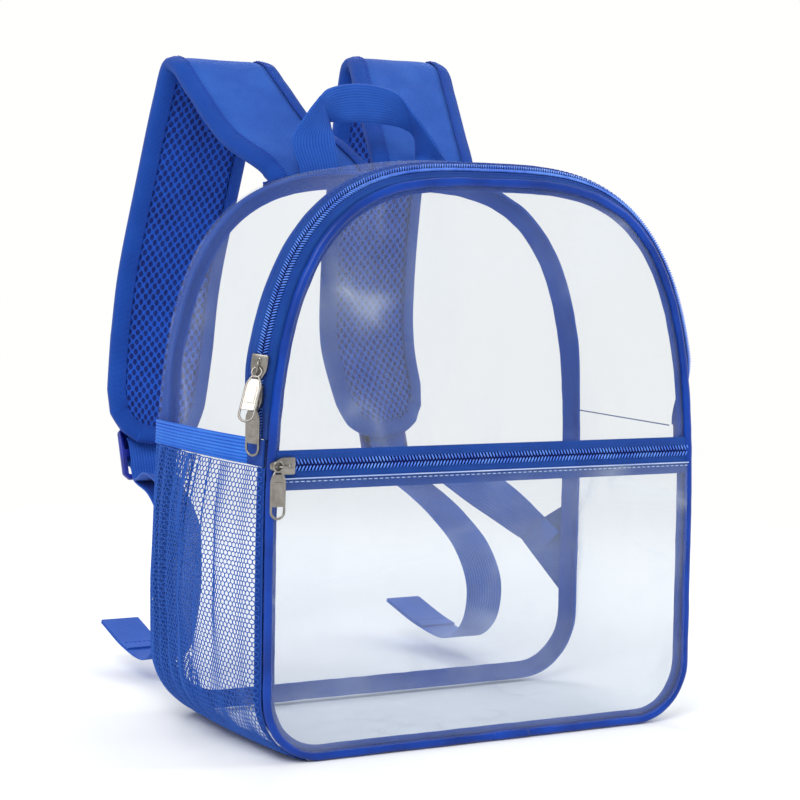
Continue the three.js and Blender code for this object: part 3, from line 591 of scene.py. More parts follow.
# what repeats
def repeater(name, unit, material, inputs):
    """Geometry Nodes: a copy of unit on each point, turned by its along and out directions."""
    tree = bpy.data.node_groups.new(name, "GeometryNodeTree")
    tree.interface.new_socket("Geometry", in_out="INPUT", socket_type="NodeSocketGeometry")
    for label in inputs:
        tree.interface.new_socket(label, in_out="INPUT", socket_type="NodeSocketFloat")
    tree.interface.new_socket("Geometry", in_out="OUTPUT", socket_type="NodeSocketGeometry")
    new, link = tree.nodes.new, tree.links.new
    start, end = new("NodeGroupInput"), new("NodeGroupOutput")
    fields = {}
    for attribute in ("along", "out"):
        fields[attribute] = new("GeometryNodeInputNamedAttribute")
        fields[attribute].data_type = "FLOAT_VECTOR"
        fields[attribute].inputs["Name"].default_value = attribute
    turn = new("FunctionNodeAxesToRotation")
    turn.primary_axis, turn.secondary_axis = "X", "Z"
    link(fields["along"].outputs[0], turn.inputs[0])
    link(fields["out"].outputs[0], turn.inputs[1])
    size = new("ShaderNodeCombineXYZ")
    for i, label in enumerate(inputs[:3]):
        link(start.outputs[label], size.inputs[i])
    vary = new("FunctionNodeRandomValue")
    vary.data_type = "FLOAT"
    vary.inputs["Seed"].default_value = 11
    vary.inputs[2].default_value = 0.94
    vary.inputs[3].default_value = 1.06
    scale = new("ShaderNodeVectorMath")
    scale.operation = "SCALE"
    link(size.outputs[0], scale.inputs[0])
    link(vary.outputs[1], scale.inputs["Scale"])
    source = new("GeometryNodeObjectInfo")
    source.inputs["Object"].default_value = unit
    put = new("GeometryNodeInstanceOnPoints")
    link(start.outputs["Geometry"], put.inputs["Points"])
    link(source.outputs["Geometry"], put.inputs["Instance"])
    link(turn.outputs[0], put.inputs["Rotation"])
    link(scale.outputs[0], put.inputs["Scale"])
    real = new("GeometryNodeRealizeInstances")
    link(put.outputs[0], real.inputs[0])
    paint = new("GeometryNodeSetMaterial")
    paint.inputs["Material"].default_value = material
    link(real.outputs[0], paint.inputs["Geometry"])
    link(paint.outputs[0], end.inputs[0])
    return tree


def unit_capsule():
    """A small rounded bar, 1 long along X and 1 thick."""
    mesh = bpy.data.meshes.new("unit bar")
    rings = [(-0.5, 0.35), (-0.36, 0.8), (-0.12, 1), (0.12, 1), (0.36, 0.8), (0.5, 0.35)]
    vertices, faces = [], []
    for x, r in rings:
        for k in range(6):
            angle = k / 6 * TURN
            vertices.append((x, 0.5 * r * math.cos(angle), 0.5 * r * math.sin(angle)))
    for i in range(len(rings) - 1):
        for k in range(6):
            m = (k + 1) % 6
            faces.append((i * 6 + k, (i + 1) * 6 + k, (i + 1) * 6 + m, i * 6 + m)[::-1])
    faces.append(tuple(range(6))[::-1])
    faces.append(tuple(range(len(vertices) - 6, len(vertices))))
    mesh.from_pydata(vertices, [], faces)
    mesh.validate()
    piece = bpy.data.objects.new("unit bar", mesh)
    for polygon in mesh.polygons:
        polygon.use_smooth = True
    return piece


BAR = unit_capsule()


def repeated(name, places, material, slot, length, width, height):
    """Bars at (point, along, out) places, sizes in millimetres."""
    mesh = bpy.data.meshes.new(name)
    mesh.from_pydata([tuple(p * MM) for p, _, _ in places], [], [])
    for label, index in (("along", 1), ("out", 2)):
        attribute = mesh.attributes.new(label, "FLOAT_VECTOR", "POINT")
        for item, place in zip(attribute.data, places):
            item.vector = place[index]
    piece = add_object(name, mesh)
    tree = repeater(name + " tree", BAR, material, ["Length", "Width", "Height"])
    modifier = piece.modifiers.new("bars", "NODES")
    modifier.node_group = tree
    sizes = {"Length": length, "Width": width, "Height": height}
    for item in tree.interface.items_tree:
        if item.in_out == "INPUT" and item.name in sizes:
            modifier[item.identifier] = sizes[item.name] * MM
    apply_modifiers(piece)
    finish(piece, None, slot)


def walk(points, pitch, start=0.5):
    """Points and directions at an even pitch along a line of points."""
    total = lengths(points)
    found, i = [], 0
    at = pitch * start
    while at < total[-1]:
        while total[i + 1] < at:
            i += 1
        share = (at - total[i]) / (total[i + 1] - total[i])
        along = (points[i + 1] - points[i]).normalized()
        found.append((points[i].lerp(points[i + 1], share), along, i, share))
        at += pitch
    return found


def stitch_places(points, outs, pitch):
    return [(p, d, outs[i].lerp(outs[i + 1], share)) for p, d, i, share in walk(points, pitch)]


# films
def wall_outward(place, side, along):
    here = wall(place, side, along)
    there = wall(place, side, along, 1)
    return (here - there).normalized()


def film_on_wall(name, run, low, high, columns, amount, seed):
    rows = []
    for place, side in run:
        row = []
        for along in spaced(low, high, columns):
            point = wall(place, side, along, FILM / 2)
            share = (along - low) / (high - low)
            give = math.sin(math.pi * min(max(share, 0), 1)) ** 0.7 * amount
            if place < 0.2:
                give *= 0.1
            bulge = (0.6 * wobble(point, 55, seed) + 0.3 * wobble(point, 22, seed + 4)) * give
            row.append(point + wall_outward(place, side, along) * bulge)
        rows.append(row)
    return sheet(name, rows)


def panel_rows(places, inset, along, columns, bow):
    rows = []
    for place in places:
        left, right = wall(place, -1, along, inset, True), wall(place, 1, along, inset, True)
        row = []
        for share in spaced(0, 1, columns):
            point = left.lerp(right, share)
            point.y += bow(point, 2 * share - 1)
            row.append(point)
        rows.append(row)
    return rows


def panel_wrinkle(seed, amount):
    def bow(point, across):
        rim = (1 - across ** 6) * smooth(point.z, 4, 30) * (1 - smooth(point.z, 270, 302))
        return amount * rim * (0.7 * wobble(point, 60, seed) + 0.3 * wobble(point, 24, seed))
    return bow


def make_films():
    film_top = film_on_wall("gusset_film_top", UPPER_RUN, FILM_START - 3, FILM_END, 22, 1.5, 1)
    finish(film_top, FILM_SIDE, "film", "gusset_top")
    film_bottom = film_on_wall("gusset_film_bottom", LOWER_RUN, WALL_START, FILM_END, 22, 1.2, 2)
    finish(film_bottom, FILM_SIDE, "film", "gusset_bottom")
    places = spaced(0, 1, 8)[:-1] + spaced(1, 2, 22)[:-1] + spaced(2, 2.985, 60)
    low, high = FILM_INSET + 7, POCKET_TOP

    def room(point, across):
        up = min(max((point.z - low) / (high - low), 0), 1)
        pocket = 9 * (1 - across ** 2) ** 2 * math.sin(math.pi * up) ** 2
        return pocket + panel_wrinkle(3, 1.0)(point, across)
    front = sheet("front_film", panel_rows(places, FRONT_INSET, FRONT_FILM + 0.5, PANEL_COLUMNS, room))
    finish(front, FILM_FRONT, "film", "front_panel")
    top = place_at(POCKET_TOP)
    pocket_places = [p for p in places if p < top - 0.01] + [top]

    def pocket_bow(point, across):
        rim = (1 - across ** 8) * smooth(point.z, 4, 34) * (1 - smooth(point.z, 128, 148))
        return rim * (0.8 * wobble(point, 48, 8) - 1.1)
    rows = panel_rows(pocket_places, FRONT_INSET, POCKET_FILM + 0.6, PANEL_COLUMNS, pocket_bow)
    pocket = sheet("pocket_film", rows)
    finish(pocket, FILM_POCKET, "film", "pocket_panel")
    back_places = [p for p in RIGHT_HALF if 0 <= p < 2.99]
    rows = panel_rows(back_places, 0, DEPTH - 0.5, PANEL_COLUMNS, panel_wrinkle(12, 1.2))
    back = sheet("back_film", rows)
    finish(back, FILM_BACK, "film", "back_panel")
    # the two gusset films meet in a thin seam at each side
    for name, side in (("left", -1), ("right", 1)):
        loops = []
        for along in spaced(FILM_START + 4, FILM_END - 1, 30):
            loops.append([wall(place_at(SEAM_HEIGHT - 1 + z), side, along, inward) for z, inward in
                          ((-0.35, -0.3), (0.35, -0.3), (0.35, 0.2), (-0.35, 0.2))])
        finish(tube("film_joint_" + name, loops, sharp=50), FILM_JOINT, "film")


# seams and piping
def band(name, run, section, closed=False, lumps=0.0, seed=0):
    """A body of one section along the wall; section holds (along, inward, straight) corners."""
    loops = []
    for place, side in run:
        loop = []
        for corner in section:
            point = wall(place, side, *corner)
            if lumps:
                point += wall_outward(place, side, 1) * (wobble(point, 9, seed) * lumps)
            loop.append(point)
        loops.append(loop)
    return tube(name, loops, closed)


def make_piping():
    radius = PIPING / 2
    steps = 18
    section = []
    for k in range(steps):
        angle = k / steps * TURN
        section.append((radius * math.sin(angle), radius - radius * math.cos(angle), True))
    piping = band("piping", RING, section, True, 0.35, 2)
    finish(piping, PIPING_BLUE, "piping", "front_piping")
    # the ends of the piping lap under a short sleeve on the floor side
    loops = []
    for x in spaced(4, 27, 12):
        swell = 1.06 + 0.07 * math.sin(math.pi * (x - 4) / 23)
        loops.append([Vector((x, -DEPTH / 2 + a * swell, max(0.02, radius + (radius - b) * -swell)))
                      for a, b, _ in section])
    finish(tube("piping_lap", loops), PIPING_BLUE, "piping")


def make_seam_tapes():
    face = FRONT_FILM + FILM + GAP
    inner = 1.2 + 4 * GAP
    front = [(face, FILM_INSET - 0.4, True), (face, FILM_INSET + 1.4, True),
             (face + 0.1, FILM_INSET + 2.6, True), (face + 1.3, FILM_INSET + 2.7, True), (6.2, inner + 2.6),
             (9.6, inner + 1.3), (9.6, inner), (6, inner), (WALL_START + 2 * GAP, inner)]
    tape = band("front_seam_binding", RING, front, True, 0.3, 5)
    soft_edges(tape, 60)
    finish(tape, SEAM_BLUE, "seam_tape", "front_seam_tape")
    wall_side = FILM + 3 * GAP
    end = FILM_END
    back = [(end, wall_side - 0.6), (end, wall_side + 4), (end, wall_side + 9), (end - 1.3, wall_side + 9),
            (end - 1.4, wall_side + 3), (end - 2.2, wall_side + 1.5), (end - 7, wall_side + 1.3),
            (end - 7, wall_side), (end - 3, wall_side)]
    tape = band("back_seam_binding", RING, back, True, 0.35, 6)
    soft_edges(tape, 60)
    finish(tape, SEAM_BLUE, "seam_tape", "back_seam_tape")
    line = [wall(p, s, end, wall_side + 7.2) - Vector((0, 1.55, 0)) for p, s in RING]
    outs = [Vector((0, -1, 0))] * len(line)
    repeated("back_seam_stitches", stitch_places(line + line[:1], outs + outs[:1], 3.6), STITCH_BLUE,
             "seam_tape", 2.6, 0.5, 0.45)
    line = [wall(p, s, face, FILM_INSET + 1.9, True) + Vector((0, -0.1, 0)) for p, s in RING]
    repeated("front_seam_stitches", stitch_places(line + line[:1], outs + outs[:1], 3.4), STITCH_BLUE,
             "seam_tape", 2.4, 0.45, 0.4)


# zips
def coil_teeth(path, outs, sides, prefix, spread, length, pitch=1.5, wide=0.8):
    """Two rows of slanted loops of the coil; sides gives the direction across the zip."""
    places = []
    for row, start in ((-1, 0.25), (1, 0.75)):
        for point, along, i, share in walk(path, pitch, start):
            out = outs[i].lerp(outs[i + 1], share).normalized()
            across = sides[i].lerp(sides[i + 1], share).normalized()
            slant = (across * row - along * 0.5).normalized()
            places.append((point + across * (row * spread) + out * 0.3, slant, out))
    repeated(prefix + "_teeth", places, COIL_HIGHLIGHT_BLUE, "zip_coil", length, wide, 1.2)


def strip_section(low, high, outer, thickness, columns=4):
    face = [(a, outer) for a in spaced(low, high, columns)]
    return face + [(a, outer + thickness) for a, _ in reversed(face)]


def make_main_zip():
    for label, low, high in (("front", WALL_START, FRONT_TAPE_END + 0.6),
                             ("back", BACK_TAPE_START - 0.6, BACK_TAPE_END)):
        tape = band("main_zip_%s_tape" % label, UPPER_RUN, strip_section(low, high, 0, 1.1), lumps=0.15)
        soft_edges(tape, 60)
        finish(tape, TAPE_BLUE, "zip_tape", "main_zip_tape_" + label)
    core = [(COIL_START - 0.5, 0.45), (COIL_START + 1.6, 0.2), (COIL_MIDDLE, 0.1), (COIL_END - 1.6, 0.2),
            (COIL_END + 0.5, 0.45), (COIL_END + 0.5, 1.05), (COIL_START - 0.5, 1.05)]
    finish(band("main_zip_core", UPPER_RUN, core), CORE_SHADE_BLUE, "zip_coil", "main_zip_coil")
    path = [wall(p, s, COIL_MIDDLE, -0.2) for p, s in UPPER_RUN]
    outs = [wall_outward(p, s, COIL_MIDDLE) for p, s in UPPER_RUN]
    sides = [(wall(p, s, COIL_MIDDLE + 1) - wall(p, s, COIL_MIDDLE - 1)).normalized() for p, s in UPPER_RUN]
    coil_teeth(path, outs, sides, "main_zip", 1.5, 2.9)
    for label, along in (("front", FRONT_TAPE_END - 0.9), ("back", BACK_TAPE_START + 3.6)):
        line = [wall(p, s, along, -0.12) for p, s in UPPER_RUN]
        lift = [wall_outward(p, s, along) for p, s in UPPER_RUN]
        repeated("main_zip_stitches_" + label, stitch_places(line, lift, 3.2), STITCH_BLUE, "zip_tape",
                 2.3, 0.45, 0.4)


def zip_edge(z, inset=FILM_INSET - 1.6):
    return wall(place_at(z), 1, 0, inset, True).x


def make_pocket_zip():
    half_coil = 2.75

    def strip(name, low, high, outer, thickness, material, node, slot, bulge=0.0):
        loops = []
        half = min(zip_edge(low), zip_edge(high))
        for x in spaced(-half, half, 90):
            loop = []
            for z in spaced(low, high, 5):
                rise = bulge * math.sin(math.pi * (z - low) / (high - low))
                rise -= 0.12 * wobble(Vector((x, 0, z)), 20, 3)
                loop.append(Vector((x, front_face(z) + outer - rise, z)))
            back = [Vector((p.x, front_face(p.z) + outer + thickness, p.z)) for p in reversed(loop)]
            loops.append(loop + back)
        made = tube(name, loops)
        soft_edges(made, 60)
        return finish(made, material, slot, *([node] if node else []))
    low, high = POCKET_ZIP - half_coil, POCKET_ZIP + half_coil
    strip("pocket_zip_upper_tape", high + 0.1, high + GAP + 4.6, TAPE_LAYER, 1.1, TAPE_BLUE,
          "pocket_zip_tape_upper", "zip_tape", 0.25)
    strip("pocket_zip_lower_tape", low - 10.2, low - 0.1, TAPE_LAYER, 1.1, TAPE_BLUE,
          "pocket_zip_tape_lower", "zip_tape", 0.15)
    strip("pocket_zip_core", low - 0.6, high + 0.6, TAPE_LAYER + 0.35, 0.7, CORE_SHADE_BLUE,
          "pocket_zip_coil", "zip_coil", 0.1)
    # the pocket film's cut edge as a pale strip: a painted highlight
    strip("pocket_film_edge", POCKET_TOP - 0.5, POCKET_TOP + 0.1, POCKET_FILM - 0.1, 0.8, FILM_EDGE_HIGHLIGHT,
          None, "film")
    half = zip_edge(POCKET_ZIP)
    coil_face = front_face(POCKET_ZIP) + TAPE_LAYER - 0.15
    path = [Vector((x, coil_face, POCKET_ZIP)) for x in spaced(-half, half, 60)]
    outs = [Vector((0, -1, 0))] * len(path)
    sides = [Vector((0, 0, 1))] * len(path)
    coil_teeth(path, outs, sides, "pocket_zip", 1.75, 3.1, 2.0, 0.85)
    for label, z, material, shift in (("upper", high + 3.0, STITCH_BLUE, TAPE_LAYER - 0.25),
                                      ("lower", POCKET_TOP - 1.8, STITCH_CLEAR, POCKET_FILM - 0.2)):
        line = [Vector((x, front_face(z) + shift, z)) for x in spaced(-half + 1, half - 1, 60)]
        repeated("pocket_zip_stitches_" + label, stitch_places(line, outs, 3.3), material, "zip_tape",
                 2.3, 0.42, 0.4)


def make_zip_ends():
    for name, side in (("left", -1), ("right", 1)):
        loops = []
        for z in spaced(SEAM_HEIGHT - ZIP_END_HIGH, SEAM_HEIGHT - 0.2, 10):
            place = place_at(z)
            section = strip_section(WALL_START + 0.2, FILM_START + 0.3, -GAP - 1, 0.9, 8)
            loops.append([wall(place, side, a, b) for a, b in section])
        patch = tube("zip_end_patch_" + name, loops)
        soft_edges(patch, 60)
        finish(patch, PATCH_BLUE, "zip_tape", "zip_end_" + name)
        places = []
        for z in (SEAM_HEIGHT - 12.6, SEAM_HEIGHT - 1.6):
            across = spaced(WALL_START + 1, FILM_START - 1, 12)
            line = [wall(place_at(z), side, a, -GAP - 1.1) for a in across]
            outs = [Vector((side, 0, 0))] * len(line)
            places += stitch_places(line, outs, 3)
        repeated("zip_end_stitches_" + name, places, STITCH_BLUE, "zip_tape", 2.1, 0.45, 0.4)


# side pocket
NET_TOP = SEAM_HEIGHT - ZIP_END_HIGH - GAP
NET_PITCH = 2.75
NET_RADIUS = 0.31
NET_BULGE = 14
NET_LAYERS = (0, 0.5, 0.7)  # where each layer starts, from front to back
# shares of the bulge: by the way down the side, then by steps round the floor's corner
NET_ROWS = [(0, 0.5), (0.1, 0.7), (0.25, 0.9), (0.45, 1), (0.65, 1), (0.8, 0.85), (1, 0.76)]
NET_CORNER = [(0, 0.76), (1, 0.62), (2, 0.42), (3, 0.24), (4, 0.12), (5, 0.04), (5.4, 0)]
CORNER_STEPS = NET_CORNER[-1][0]
NET_FOLDS = [  # place from front to back, width, depth
    (0.93, 0.035, 3.4), (0.8, 0.03, 4.2), (0.66, 0.03, 5.0),
    (0.52, 0.024, 4.0), (0.4, 0.02, 2.6), (0.27, 0.02, 1.4)]


def from_rows(rows, value):
    for (a, low), (b, high) in zip(rows, rows[1:]):
        if value <= b:
            return lerp(low, high, (value - a) / (b - a))
    return rows[-1][1]


def net_point(across, down, lift=0.0, layer=0):
    """A point of the net pocket: across from front to back, down from its top to the floor."""
    straight = 120.0
    corner = 48.0
    at = down * (straight + corner)
    if at < straight:
        place = place_at(lerp(NET_TOP, FRONT_CORNER, at / straight))
        bulge = from_rows(NET_ROWS, at / straight)
    else:
        steps = (at - straight) / corner * CORNER_STEPS
        place = 1 - steps / 6
        bulge = from_rows(NET_CORNER, steps)
    along = lerp(WALL_START + GAP, FILM_END, across)
    share = min(max((along - WALL_START) / (FILM_END - WALL_START), 0), 1)
    out = (NET_BULGE - 1.8 * layer) * bulge * max(0, math.sin(math.pi * share)) ** 0.6
    fold = 0.0
    for middle, width, depth in NET_FOLDS:
        sway = middle + (0.05 * down + 0.03 * math.sin(down * 5 + middle * 9 + layer)) + 0.035 * layer
        depth *= 1 - 0.6 * smooth(down, 0.25, 0.7)
        fold += depth * math.exp(-((across - sway) / width) ** 2)
    fold *= bulge
    ripple = 0.5 * math.sin(across * 60 + 2 * math.sin(down * 6)) * bulge * smooth(across, 0.35, 0.8)
    return wall(place, -1, along, -GAP - 0.5 - lift - max(0, out - fold + ripple))


def net_warp(share):
    """Gathers the net towards the back: threads lie closer where it is pulled in."""
    pleat = 0.028 * math.sin(share * 15.5 + 0.8) * smooth(share, 0.25, 0.6)
    return share + pleat + 0.008 * math.sin(share * 40)


def make_net():
    width, drop = 150.0, 168.0
    columns, rows = int(width / NET_PITCH), int(drop / (NET_PITCH * 0.87))
    mesh = bmesh.new()
    found = {}

    def vertex(u, v, layer):
        key = (round(u * 100), round(v * 100), layer)
        if key not in found:
            across = min(max(net_warp(u / width), 0), 1)
            down = min(max(v / drop, 0), 1)
            point = net_point(across, down, 0, layer)
            found[key] = mesh.verts.new(point * MM)
        return found[key]
    radius = NET_PITCH / math.sqrt(3)
    # the net lies in up to three layers where it is gathered at the back
    for cell in range(len(NET_LAYERS) * rows * columns):
        layer, row, column = cell // (rows * columns), cell // columns % rows, cell % columns
        u = (column + 0.5 + 0.5 * (row % 2)) * NET_PITCH
        v = (row + 0.5) * radius * 1.5
        start = NET_LAYERS[layer] - 0.3 * smooth(v / drop, 0.55, 1) * (layer > 0)
        if start * width <= u <= width - 1 and v <= drop - 1:
            corners = []
            for k in range(6):
                angle = (k + 0.5) / 6 * TURN
                corners.append((u + radius * math.cos(angle), v + radius * math.sin(angle)))
            ring = [vertex(a, b, layer) for a, b in corners]
            if len(set(ring)) == 6:
                try:
                    mesh.faces.new(ring)
                except ValueError:
                    pass
    bmesh.ops.remove_doubles(mesh, verts=mesh.verts, dist=0.0002)
    data = bpy.data.meshes.new("net cells")
    mesh.to_mesh(data)
    mesh.free()
    cells = add_object("side_pocket_mesh_net", data)
    tree = bpy.data.node_groups.new("net threads", "GeometryNodeTree")
    tree.interface.new_socket("Geometry", in_out="INPUT", socket_type="NodeSocketGeometry")
    tree.interface.new_socket("Thread radius", in_out="INPUT", socket_type="NodeSocketFloat")
    tree.interface.new_socket("Geometry", in_out="OUTPUT", socket_type="NodeSocketGeometry")
    start, end = tree.nodes.new("NodeGroupInput"), tree.nodes.new("NodeGroupOutput")
    to_curve = tree.nodes.new("GeometryNodeMeshToCurve")
    profile = tree.nodes.new("GeometryNodeCurvePrimitiveCircle")
    profile.inputs["Resolution"].default_value = 4
    solid = tree.nodes.new("GeometryNodeCurveToMesh")
    real = tree.nodes.new("GeometryNodeRealizeInstances")
    paint = tree.nodes.new("GeometryNodeSetMaterial")
    paint.inputs["Material"].default_value = NET_THREAD
    tree.links.new(start.outputs["Geometry"], to_curve.inputs["Mesh"])
    tree.links.new(start.outputs["Thread radius"], profile.inputs["Radius"])
    tree.links.new(to_curve.outputs[0], solid.inputs["Curve"])
    tree.links.new(profile.outputs[0], solid.inputs["Profile Curve"])
    tree.links.new(solid.outputs[0], real.inputs[0])
    tree.links.new(real.outputs[0], paint.inputs["Geometry"])
    tree.links.new(paint.outputs[0], end.inputs[0])
    modifier = cells.modifiers.new("threads", "NODES")
    modifier.node_group = tree
    for item in tree.interface.items_tree:
        if item.in_out == "INPUT" and item.name == "Thread radius":
            modifier[item.identifier] = NET_RADIUS * MM
    apply_modifiers(cells)
    finish(cells, None, "net", "side_pocket_net")
    # tape under the net along the front seam and along its foot
    rows_front = []
    for place in spaced(0.15, place_at(NET_TOP), 60):
        rows_front.append([wall(place, -1, along, -0.35) for along in (1.4, 3, 6, 9.5)])
    finish(sheet("net_front_tape", rows_front), SEAM_BLUE, "seam_tape")
    rows_foot = [[net_point(a, d, 0.3) for d in (0.93, 0.955, 0.98, 1.0)] for a in spaced(0.0, 1, 50)]
    finish(sheet("net_foot_tape", rows_foot), SEAM_BLUE, "seam_tape")


def make_elastic():
    loops = []
    start = FILM_START + 2 * GAP
    ribs_high = 7
    for along in spaced(start, FILM_END, 60):
        share = (along - start) / (FILM_END - start)
        out = GAP + NET_BULGE * 0.25 * max(0, math.sin(math.pi * share)) ** 0.6
        loop, back = [], []
        for k in range(ribs_high * 4 + 1):
            z = lerp(SEAM_HEIGHT - ZIP_END_HIGH, SEAM_HEIGHT - 0.15, k / (ribs_high * 4))
            ridge = 0.28 * math.sin(TURN * k / 4 - math.pi / 2) + 0.28
            pucker = 0.2 * math.sin(along * 1.3 + z * 0.2)
            place = place_at(z)
            loop.append(wall(place, -1, along, -out - 0.9 - ridge - pucker * 0.6))
            back.append(wall(place, -1, along, -out + 0.1))
        loops.append(loop + back[::-1])
    piece = tube("side_pocket_band", loops)
    soft_edges(piece, 60)
    finish(piece, ELASTIC_BLUE, "elastic", "side_pocket_elastic")


# straps and webbing
def centripetal(points, share):
    """Catmull-Rom curve through points, its knots spaced by the root of their distances."""
    at = (len(points) - 1) * share
    i = min(int(at), len(points) - 2)
    weight = at - i
    p1, p2 = points[i], points[i + 1]
    p0 = points[i - 1] if i > 0 else p1 * 2 - p2
    p3 = points[i + 2] if i + 2 < len(points) else p2 * 2 - p1
    d0, d1, d2 = (max((b - a).length, 1e-4) ** 0.5 for a, b in ((p0, p1), (p1, p2), (p2, p3)))
    t1 = ((p1 - p0) / d0 - (p2 - p0) / (d0 + d1) + (p2 - p1) / d1) * d1
    t2 = ((p2 - p1) / d1 - (p3 - p1) / (d1 + d2) + (p3 - p2) / d2) * d1
    c2 = (p2 - p1) * 3 - t1 * 2 - t2
    c3 = (p1 - p2) * 2 + t1 + t2
    return p1 + t1 * weight + c2 * weight ** 2 + c3 * weight ** 3


def frames(rows, steps):
    """Along, across and out directions on the curve through (point, across) rows."""
    points = [row[0] for row in rows]
    made = []
    for i in range(steps + 1):
        t = i / steps
        at = t * (len(rows) - 1)
        index = min(int(at), len(rows) - 2)
        share = at - index
        along = (centripetal(points, min(t + 1e-4, 1)) - centripetal(points, max(t - 1e-4, 0))).normalized()
        across = rows[index][1].lerp(rows[index + 1][1], share)
        across = (across - along * along.dot(across)).normalized()
        made.append((centripetal(points, t), along, across, across.cross(along), index, share))
    return made


STRAP_ROWS = [  # reach, level, spread, wide, thick
    (0, -0.03, 0, 1, 0.8), (0.015, 0.02, 0, 1, 0.9), (0.06, 0.17, 0.04, 1, 1), (0.2, 0.42, 0.15, 1, 1),
    (0.42, 0.79, 0.33, 1, 1), (0.565, 0.985, 0.45, 1, 1), (0.64, 1, 0.46, 1, 1), (0.72, 0.7, 0.49, 1, 1),
    (0.855, -0.03, 0.57, 1, 1), (0.975, -0.39, 0.68, 1, 1), (1, -0.63, 0.74, 1, 1),
    (0.95, -0.84, 0.87, 0.94, 1), (0.92, -0.925, 0.94, 0.82, 0.85), (0.895, -0.97, 0.98, 0.6, 0.65),
    (0.88, -1, 1, 0.26, 0.45)]
STRAP_WIDTH = 66
STRAP_THICK = 8
STRAP_REACH = 126
STRAP_DROP = 163
TOP_SPREAD = 40
HAUL_BACK = DEPTH / 2 + GAP + 1
BINDING_INNER = STRAP_THICK / 2 + 3 * GAP
STRAP_BACK = HAUL_BACK + 1 + GAP + BINDING_INNER + 1


def low_spread(side):
    return 87 if side < 0 else 83


def crest(side):
    return 73 if side > 0 else 66


LEFT_STRAP_LIE = [(11, 0), (10, 0), (7, 4), (-2, 8), (-2, 4)]  # its first rows' shifts, right and back


def strap_frames(side, steps):
    rows = []
    for index, (reach, level, spread, _, _) in enumerate(STRAP_ROWS):
        shifted = side < 0 and index < len(LEFT_STRAP_LIE)
        right, behind = LEFT_STRAP_LIE[index] if shifted else (0, 0)
        x = HARNESS_SHIFT + side * lerp(TOP_SPREAD, low_spread(side), spread) + right
        y = STRAP_BACK + reach * STRAP_REACH + behind
        z = HEIGHT + level * (crest(side) if level > 0 else STRAP_DROP)
        rows.append((Vector((x, y, z)), X_AXIS))
    made = []
    for point, along, across, out, index, share in frames(rows, steps):
        half = lerp(STRAP_ROWS[index][3], STRAP_ROWS[index + 1][3], share) * STRAP_WIDTH / 2
        thick = lerp(STRAP_ROWS[index][4], STRAP_ROWS[index + 1][4], share) * STRAP_THICK / 2
        made.append((point, along, across, out, half, thick))
    return made


def make_strap(name, side):
    made = strap_frames(side, 150)
    columns = 16
    face_rows, back_rows = [], []
    for point, _, across, out, half, thick in made:
        top, low = [], []
        for j in range(columns + 1):
            a = lerp(-1, 1, j / columns)
            edge = min(1, (1 - abs(a)) * half / 11)
            puff = 1.6 + (thick - 1.4) * smooth(edge, 0, 1)
            dent = 0.25 * wobble(point + across * (a * half), 16, 4 + side)
            where = point + across * (a * (half - 0.6))
            top.append(where + out * min(puff + dent, thick + 0.6))
            low.append(where - out * min(puff - dent, thick + 0.6))
        face_rows.append(top)
        back_rows.append(low[::-1])
    loops = [a + b for a, b in zip(face_rows, back_rows)]
    pad = tube("strap_pad_" + name + "_cover", loops)
    pad.data.materials.append(TWILL_BLUE)
    pad.data.materials.append(NET_PAD_BLUE)
    size = len(loops[0])
    for index, polygon in enumerate(pad.data.polygons):
        polygon.material_index = 0 if (index % size) < size / 2 else 1
    soft_edges(pad, 55)
    finish(pad, None, "padding", "strap_pad_" + name)
    # the binding runs down one long edge of the pad and back along the other
    path, normals = [], []
    for point, _, across, out, half, _ in made:
        path.append(point - across * half)
        normals.append(out)
    for point, _, across, out, half, _ in reversed(made):
        path.append(point + across * half)
        normals.append(out)
    inner, outer = BINDING_INNER - 0.5, 1.0
    section = [(8, inner - 0.2), (4, inner - 0.5), (0.8, 2.6), (-GAP, 1.6), (-GAP, -1.6), (0.8, -2.6),
               (4, -inner + 0.5), (8, -inner + 0.2), (8.2, -inner - 0.6), (4, -inner - outer + 0.5),
               (0.4, -3.6), (-GAP - 0.9, -1.8), (-GAP - 0.9, 1.8), (0.4, 3.6), (4, inner + outer - 0.5),
               (8.2, inner + 0.6)]
    loops, seams = [], {1: ([], []), -1: ([], [])}
    for i, (point, out) in enumerate(zip(path, normals)):
        before, after = path[max(i - 2, 0)], path[min(i + 2, len(path) - 1)]
        inward = (after - before).cross(out).normalized()
        pucker = 0.22 * math.sin(i * 1.9) + 0.2 * wobble(point, 7, 3)
        loop = []
        for a, b in section:
            swell = pucker * 0.5 if a > 3 else 0
            loop.append(point + inward * a + out * (b + (swell if b > 0 else -swell)))
        loops.append(loop)
        for sign in (1, -1):
            stitch = point + inward * 6.9 + out * (sign * (inner + 0.75))
            line = seams[sign][0]
            if 3 < i < len(path) - 4 and (not line or (stitch - line[-1]).dot(after - before) > 0.8):
                line.append(stitch)
                seams[sign][1].append(out * sign)
    binding = tube("strap_binding_" + name + "_tape", loops)
    soft_edges(binding, 60)
    finish(binding, BINDING_BLUE, "seam_tape", "strap_binding_" + name)
    for sign, label in ((1, "out"), (-1, "in")):
        repeated("strap_stitches_%s_%s" % (name, label), stitch_places(*seams[sign], 3.4), STITCH_BLUE,
                 "seam_tape", 2.4, 0.5, 0.45)


